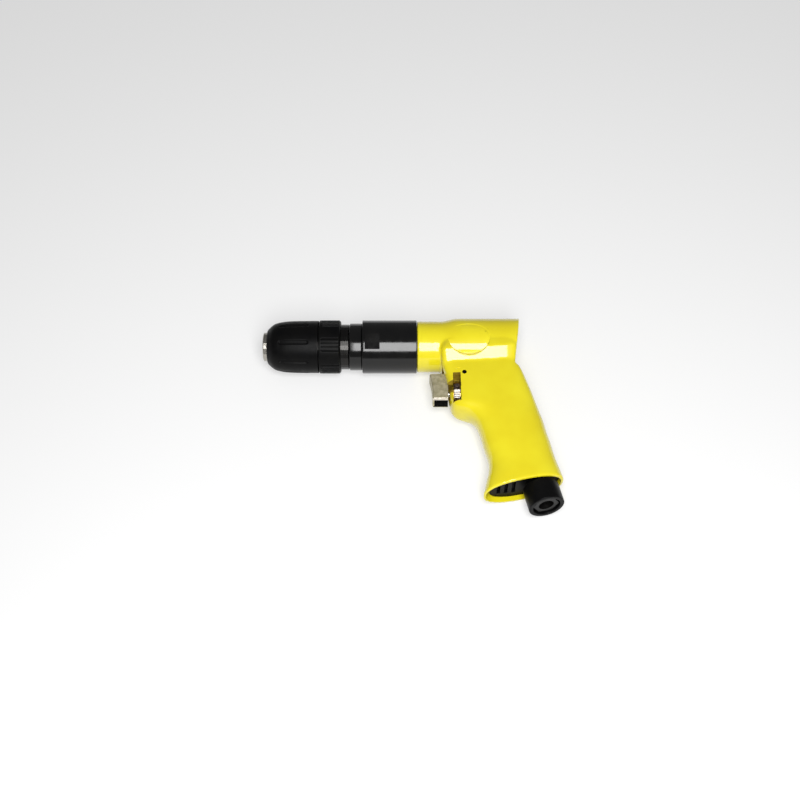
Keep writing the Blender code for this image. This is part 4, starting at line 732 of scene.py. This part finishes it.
cutters = [
    lathe("motor_bore", MOTOR_BORE, BARREL, 96),
    tool_block(
        "trigger_pocket",
        (HOUSING_START + 0.004, pocket_low.y - 0.0006, -side),
        (slot_start + 0.0002, pocket_high.y + 0.0006, side),
    ),
    lathe(
        "valve_bores",
        [
            (bush_high.x + FIT, 0),
            (bush_high.x + FIT, 0.0073),
            (bush_low.x + 0.0059, 0.0073),
            (bush_low.x + 0.0059, 0.0115),
            (slot_start, 0.0115),
            (slot_start, 0),
        ],
        VALVE,
        64,
    ),
    tool_block("slot", (slot_start, slot_bottom, SLOT_FLOOR), (slot_end, slot_top, OUTSIDE)),
    tool_block(
        "slot_step",
        (slot_start, VALVE_Y + 0.0094, 0.0145),
        (slot_end, VALVE_Y + 0.0156, OUTSIDE),
    ),
    tool_block("slot_room", (slot_start, VALVE_Y, SLOT_FLOOR), (slot_end, room_top, ROOM_HEIGHT)),
    tool_block(
        "notch",
        (HOUSING_START + 0.015, VALVE_Y - 0.0035, 0.0055),
        (slot_start + 0.0018, VALVE_Y + 0.0045, OUTSIDE),
    ),
    lathe(
        "pin_hole",
        [(OUTSIDE, 0), (OUTSIDE, PIN_RADIUS), (-OUTSIDE, PIN_RADIUS), (-OUTSIDE, 0)],
        axis_frame((pin_x, pin_y, 0), (0, 0, 1)),
        32,
    ),
]
inner = [handle_section_ring(s, WALL) for s in eased(HANDLE_SECTIONS, 5) if s[1] < -0.131]
inner.append(handle_section_ring((0.0476, -0.1440, 0.1104, -0.1303, 0.0166, 2.3), WALL))
cutters.append(loft("cavity", inner))
for cutter in cutters:
    boolean(shell, cutter)


def deep_faces(obj):
    """Faces inside the slot, the notch and the pocket get a darker brown yellow as painted shade.

    The inside of the pin's hole is painted black as painted shade.
    """
    near, reach = 0.0002, 0.0142
    for look in (enamel, recess, hollow_painted_shade):
        obj.data.materials.append(look)
    for face in obj.data.polygons:
        p = face.center
        up = p.y - VALVE_Y
        top = reach if p.z < ROOM_HEIGHT + near else SLOT_UP + near
        inside_slot = slot_start - near / 2 < p.x < slot_end + near and -reach < up < top
        inside_notch = HOUSING_START + 0.014 < p.x < slot_start and abs(up) < 0.005
        in_pocket = pocket_low.x + 0.003 < p.x < slot_start + FIT and abs(p.z) < side + near
        in_pocket = in_pocket and pocket_low.y - 0.0004 < p.y < pocket_high.y + 0.0008
        # painted shade: the pin hole's walls near black
        if math.hypot(p.x - pin_x, p.y - pin_y) < PIN_RADIUS + 0.00002 and abs(p.z) < 0.0149:
            face.material_index = 2
        # painted shade inside the slot, the notch and the trigger pocket
        elif in_pocket or (inside_slot or inside_notch) and 0.0005 < p.z < 0.0143:
            face.material_index = 1


deep_faces(shell)
finish_piece(shell, None, "housing", ["motor_housing"], angle=38)


# ---- trigger ---------------------------------------------------------------------------------
def trigger_shell():
    """A cast trigger: a channel open below, with a finger hollow down its front."""
    low, high = pocket_low, pocket_high
    top, bottom = low.y + 0.0238, low.y + 0.0008
    rows, columns = 25, 17
    edge_width, edge_drop = 0.0012, 0.0009
    outline = [(low.x + 0.0012, top + 0.0004)]
    for i in range(rows):
        share = i / (rows - 1)
        hollow = 0.0008 * math.sin(math.pi * min(share * 1.05, 1))
        outline.append((low.x - 0.0008 + 0.0024 * share + hollow, top + (bottom - top) * share))
    ring = outline + [(high.x, bottom), (high.x, top + 0.0004)]
    layers = []
    for k in range(columns):
        z = -TRIGGER_HALF + 2 * TRIGGER_HALF * k / (columns - 1)
        edge = min(TRIGGER_HALF - abs(z), edge_width) / edge_width
        pull = edge_drop * (1 - math.sqrt(max(1 - (1 - edge) ** 2, 0)))
        layers.append([Vector((x + (pull if x < high.x - 0.004 else 0), y, z)) for x, y in ring])
    obj = loft("trigger_shell", layers)
    soft = obj.modifiers.new("edges", "BEVEL")
    soft.width = 0.0004
    soft.segments = 3
    soft.limit_method = "ANGLE"
    soft.angle_limit = math.radians(40)
    apply_modifiers(obj)
    hollow_low = (low.x + 0.0028, bottom - 0.001, -0.0056)
    hollow_high = (high.x + 0.001, VALVE_Y - 0.0042, 0.0034)
    boolean(obj, tool_block("trigger_hollow", hollow_low, hollow_high))
    back, end, radius = high.x + 0.001, high.x - 0.006, 0.0023
    socket = [(back, 0), (back, radius), (end, radius), (end, 0)]
    boolean(obj, lathe("stem_socket", socket, VALVE, 32))
    for look in (aluminium, hollow_painted_shade, bright):
        obj.data.materials.append(look)
    # the channel's inside is painted near black as painted shade, and the near wall's lower edge
    # takes bright steel as a painted highlight
    for face in obj.data.polygons:
        p = face.center
        if p.x > low.x + 0.0027 and -0.0057 < p.z < 0.0035 and p.y < VALVE_Y - 0.0041:
            face.material_index = 1
        elif p.y < bottom + 0.0003 and p.z > 0.0033:
            face.material_index = 2
    return obj


finish_piece(trigger_shell(), None, "trigger", ["trigger"], angle=40)


# ---- reverse lever and valve spring ----------------------------------------------------------
def copied(node, name):
    """A piece with a CAD node's own mesh, in the tool's frame."""
    obj = bpy.data.objects.new(name, nodes[node].data.copy())
    bpy.context.scene.collection.objects.link(obj)
    obj.data.transform(TO_TOOL)
    return obj


# the tab's grip lines, painted shade with no groove of their own, from the valve's axis
TAB_LINES = (-0.0084, -0.0098, -0.0112)


def lever_piece():
    """The lever's own shape, with a polished tab crossed by three grip lines of painted shade, on
    an arm painted dark as painted shade.
    """
    obj = copied("reverse_lever", "reverse_lever_piece")
    mesh = bmesh.new()
    mesh.from_mesh(obj.data)
    bmesh.ops.remove_doubles(mesh, verts=mesh.verts, dist=1e-6)
    for shift in TAB_LINES:
        place = Vector((0, VALVE_Y + shift, 0))
        for offset in (-0.00022, 0.00022):
            bmesh.ops.bisect_plane(
                mesh,
                geom=mesh.verts[:] + mesh.edges[:] + mesh.faces[:],
                plane_co=place + Vector((0, offset, 0)),
                plane_no=Vector((0, 1, 0)),
            )
    mesh.to_mesh(obj.data)
    mesh.free()
    obj.data.materials.clear()
    for look in (lever_arm_painted_shade, tab_bright, hollow_painted_shade):
        obj.data.materials.append(look)
    for face in obj.data.polygons:
        p = face.center
        face.material_index = 0
        if p.y < VALVE_Y - 0.0066 and p.z > 0.0116:
            face.material_index = 1
            if any(abs(p.y - VALVE_Y - shift) < 0.0002 for shift in TAB_LINES):
                face.material_index = 2
    return obj


finish_piece(lever_piece(), None, "reverse", ["reverse_lever"], angle=30)

spring = copied("valve_spring", "valve_spring_piece")
finish_piece(spring, dark_steel, "housing", ["valve_spring"])
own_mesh(spring)

# ---- gear case and its cap -------------------------------------------------------------------
case_low, case_high = tool_box("gear_case")
cap_low, _ = tool_box("spindle_cap")
CASE_RADIUS = 0.0215
FLAT_TURN, FLAT_HEIGHT = math.radians(24), 0.0203
flat_ends = (case_low.x + 0.0022, case_low.x + 0.0140)


def spanner_flats(z, radius, angle):
    """Two flats on the outside of the gear case, one on the lever's side and one opposite."""
    if not flat_ends[0] <= z <= flat_ends[1] or radius < 0.0206:
        return radius
    reach = abs(math.cos(angle - math.pi / 2 - FLAT_TURN))
    return min(radius, FLAT_HEIGHT / reach) if reach > 0.5 else radius


case_profile = [
    (case_high.x, 0.0193),
    (case_high.x, CASE_RADIUS),
    (case_low.x, CASE_RADIUS),
    (case_low.x, 0.0160),
    (case_low.x + 0.0040, 0.0160),
    (case_low.x + 0.0040, 0.0143),
    (case_low.x + 0.0159, 0.0143),
    (case_low.x + 0.0159, 0.0155),
    (case_low.x + 0.0181, 0.0155),
    (case_low.x + 0.0181, 0.0193),
]
rounded = smooth_profile(case_profile, 0.0006, 4)
# a pair of rings at each end of the flats keeps those ends sharp
extra = []
for i, (z, radius) in enumerate(rounded):
    extra.append((z, radius))
    following = rounded[(i + 1) % len(rounded)]
    if radius > 0.0214 and following[1] > 0.0214 and z > following[0]:
        for edge in sorted(flat_ends, reverse=True):
            for offset in (0.00005, -0.00005):
                if following[0] < edge + offset < z:
                    extra.append((edge + offset, CASE_RADIUS))
case = lathe("gear_case_shell", extra, BARREL, 192, spanner_flats)
finish_piece(case, gloss_black, "housing", ["gear_case"], angle=25)

cap = lathe(
    "spindle_cap_shell",
    smooth_profile(
        [
            (case_low.x + 0.0037, 0.0157),
            (case_low.x - 0.0003, 0.0157),
            (case_low.x - 0.0003, 0.0190),
            (cap_low.x, 0.0190),
            (cap_low.x, 0.0101),
            (cap_low.x + 0.0013, 0.0101),
            (cap_low.x + 0.0013, 0.0143),
            (case_low.x + 0.0037, 0.0143),
        ],
        0.0008,
    ),
    BARREL,
    160,
)
finish_piece(cap, gloss_black, "housing", ["spindle_cap"], angle=25)

# ---- front sleeve with shallow flutes --------------------------------------------------------
sleeve_low, sleeve_high = tool_box("front_sleeve")
# the sleeve's outline: distance from its front end, and radius
OUTER = [
    (0.0000, 0.0130),
    (0.0006, 0.0141),
    (0.0018, 0.0152),
    (0.0036, 0.0169),
    (0.0056, 0.0183),
    (0.0082, 0.0193),
    (0.0110, 0.0199),
    (0.0160, 0.0206),
    (0.0260, 0.0210),
    (0.0400, 0.0211),
]
FLUTE_FIRST = math.radians(90 + 27)
FLUTE_START, FLUTE_END, FLUTE_HALF, FLUTE_DEPTH = 0.0098, 0.0340, 0.0019, 0.00085
FLUTE_RADIUS, FLUTE_EDGE = 0.0208, 0.0009


def flutes(z, radius, angle):
    """Eight shallow flutes with round ends, on the outside only."""
    x = z - sleeve_low.x
    if radius < 0.0195:
        return radius
    step = math.pi / 4
    off = (angle - FLUTE_FIRST + step / 2) % step - step / 2
    across = off * FLUTE_RADIUS
    along = max(FLUTE_START + FLUTE_HALF - x, 0, x - (FLUTE_END - FLUTE_HALF))
    distance = math.hypot(across, along)
    share = min(max((FLUTE_HALF - distance) / FLUTE_EDGE, 0), 1)
    return radius - FLUTE_DEPTH * share * share * (3 - 2 * share)


bore = [(sleeve_high.x, 0.0193), (sleeve_low.x + 0.0133, 0.0193), (sleeve_low.x + 0.0110, 0.0165)]
front = [(sleeve_low.x + 0.0028, 0.0119), (sleeve_low.x, 0.0119), (sleeve_low.x, 0.0126)]
outer = [(sleeve_low.x + z, r) for z, r in eased(OUTER, 3)]
outer += [
    (sleeve_high.x - 0.0006, 0.0211),
    (sleeve_high.x - 0.00015, 0.02105),
    (sleeve_high.x, 0.0207),
]
# rings close enough together to carry the flutes
RING_STEP = 0.00045
profile = []
for one, other in zip(outer, outer[1:]):
    long, high = other[0] - one[0], other[1] - one[1]
    parts = max(1, math.ceil(long / RING_STEP))
    profile += [(one[0] + long * k / parts, one[1] + high * k / parts) for k in range(parts)]
profile.append(outer[-1])
sleeve = lathe("front_sleeve_grip", profile + bore + front, BARREL, 384, flutes)
finish_piece(sleeve, plastic, "chuck_sleeve", ["front_sleeve"], angle=50)

# ---- rear sleeve with ribbed panels ----------------------------------------------------------
ring_low, ring_high = tool_box("rear_sleeve")
RIB_FIRST = math.radians(123)
RIB_RADIUS, PANEL_HALF, LANE = 0.0212, 0.0066, 0.0031
GROOVE_START, GROOVE_END, GROOVE_HALF, GROOVE_DEPTH = 0.0030, 0.0158, 0.00075, 0.0011
GROOVE_EDGE = 0.0004


def ribs(z, radius, angle):
    """Six panels of grooves with round ends, on the outside only."""
    x = z - ring_low.x
    if radius < 0.0205:
        return radius
    panel_turn = 2 * math.pi / 6
    off = (angle - RIB_FIRST + panel_turn / 2) % panel_turn - panel_turn / 2
    across = off * RIB_RADIUS
    if abs(across) > PANEL_HALF:
        return radius
    cell = (across + 2 * LANE) % LANE - LANE / 2
    along = max(GROOVE_START - x, 0, x - GROOVE_END)
    distance = math.hypot(cell, along)
    share = min(max((GROOVE_HALF - distance) / GROOVE_EDGE, 0), 1)
    return radius - GROOVE_DEPTH * share * share * (3 - 2 * share)


ring_profile = filled_profile(
    smooth_profile(
        [
            (ring_high.x, 0.0168),
            (ring_high.x, 0.0203),
            (ring_high.x - 0.0012, 0.0215),
            (ring_low.x + 0.0006, 0.0215),
            (ring_low.x, 0.0209),
            (ring_low.x, 0.0168),
        ],
        0.0004,
        3,
    ),
    0.0005,
)
ring = lathe("rear_sleeve_grip", ring_profile, BARREL, 480, ribs)
finish_piece(ring, plastic, "spindle", ["rear_sleeve"], angle=50)

# ---- exhaust deflector -----------------------------------------------------------------------
mouth = INLET_UP.dot(Vector((HOUSING_START + 0.0481, -0.1408, 0)) - INLET)
rim = mouth - 0.0006
deflector = lathe(
    "exhaust_deflector_shell",
    smooth_profile(
        [
            (rim, 0.0136),
            (0.0000, 0.0136),
            (0.0000, 0.0104),
            (0.0080, 0.0104),
            (0.0080, 0.0083),
            (0.0215, 0.0083),
            (0.0215, 0.0099),
            (0.0100, 0.0099),
            (0.0100, 0.0120),
            (rim, 0.0120),
        ],
        0.0007,
    ),
    INLET_FRAME,
    160,
)
finish_piece(deflector, deflector_black, "deflector", ["exhaust_deflector"])

# ---- floor and light -------------------------------------------------------------------------
# the floor is a mid grey with a glow that only the camera and gloss see, so that it looks pale
# but lights the tool less; the world is white to the camera only
FLOOR_GREY, FLOOR_GLOW = 0.56, 0.44
WORLD_LIGHT = 0.20
floor_material = bpy.data.materials.new("floor_look")
floor_material.use_nodes = True
tree = floor_material.node_tree
shader = tree.nodes["Principled BSDF"]
shader.inputs["Base Color"].default_value = (FLOOR_GREY, FLOOR_GREY, FLOOR_GREY, 1)
shader.inputs["Roughness"].default_value = 0.9
shader.inputs["Specular IOR Level"].default_value = 0.1
light_path = tree.nodes.new("ShaderNodeLightPath")
glossy = tree.nodes.new("ShaderNodeMath")
glossy.operation = "MAXIMUM"
seen = tree.nodes.new("ShaderNodeMath")
seen.operation = "MAXIMUM"
tree.links.new(light_path.outputs["Is Glossy Ray"], glossy.inputs[0])
tree.links.new(light_path.outputs["Is Transmission Ray"], glossy.inputs[1])
tree.links.new(glossy.outputs[0], seen.inputs[0])
tree.links.new(light_path.outputs["Is Camera Ray"], seen.inputs[1])
strength = tree.nodes.new("ShaderNodeMath")
strength.operation = "MULTIPLY"
strength.inputs[1].default_value = FLOOR_GLOW
tree.links.new(seen.outputs[0], strength.inputs[0])
shader.inputs["Emission Color"].default_value = (1, 1, 1, 1)
tree.links.new(strength.outputs[0], shader.inputs["Emission Strength"])
floor = tool_block("floor", (-6, -6, -0.02), (6, 6, 0))
floor.data.materials.append(floor_material)
floor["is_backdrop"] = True

world = bpy.data.worlds.new("studio")
bpy.context.scene.world = world
world.use_nodes = True
tree = world.node_tree
background = tree.nodes["Background"]
background.inputs["Color"].default_value = (1, 1, 1, 1)
path = tree.nodes.new("ShaderNodeLightPath")
mix = tree.nodes.new("ShaderNodeMapRange")
mix.inputs["To Min"].default_value = WORLD_LIGHT
mix.inputs["To Max"].default_value = 1.0
tree.links.new(path.outputs["Is Camera Ray"], mix.inputs["Value"])
tree.links.new(mix.outputs["Result"], background.inputs["Strength"])


def panel(name, place, target, size, power):
    """A soft rectangular lamp at place that faces target."""
    light = bpy.data.lights.new(name, "AREA")
    light.shape = "RECTANGLE"
    light.size, light.size_y = size
    light.energy = power
    obj = bpy.data.objects.new(name, light)
    bpy.context.scene.collection.objects.link(obj)
    toward = (TOOL @ Vector(target)) - (TOOL @ Vector(place))
    obj.rotation_euler = toward.to_track_quat("-Z", "Y").to_euler()
    obj.location = TOOL @ Vector(place)
    obj.visible_camera = False


# the lamp stands beside the camera, where the photo's highlights place it
lamp_target = LOOK_AT + Vector((0.069, 0, 0))
LAMP_DISTANCE, LAMP_SIZE, LAMP_WATTS = 0.98, (0.40, 0.67), 10.6
panel("front_panel", lamp_target + BACK * LAMP_DISTANCE, lamp_target, LAMP_SIZE, LAMP_WATTS)

bpy.context.scene.view_settings.view_transform = "Standard"

low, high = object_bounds()
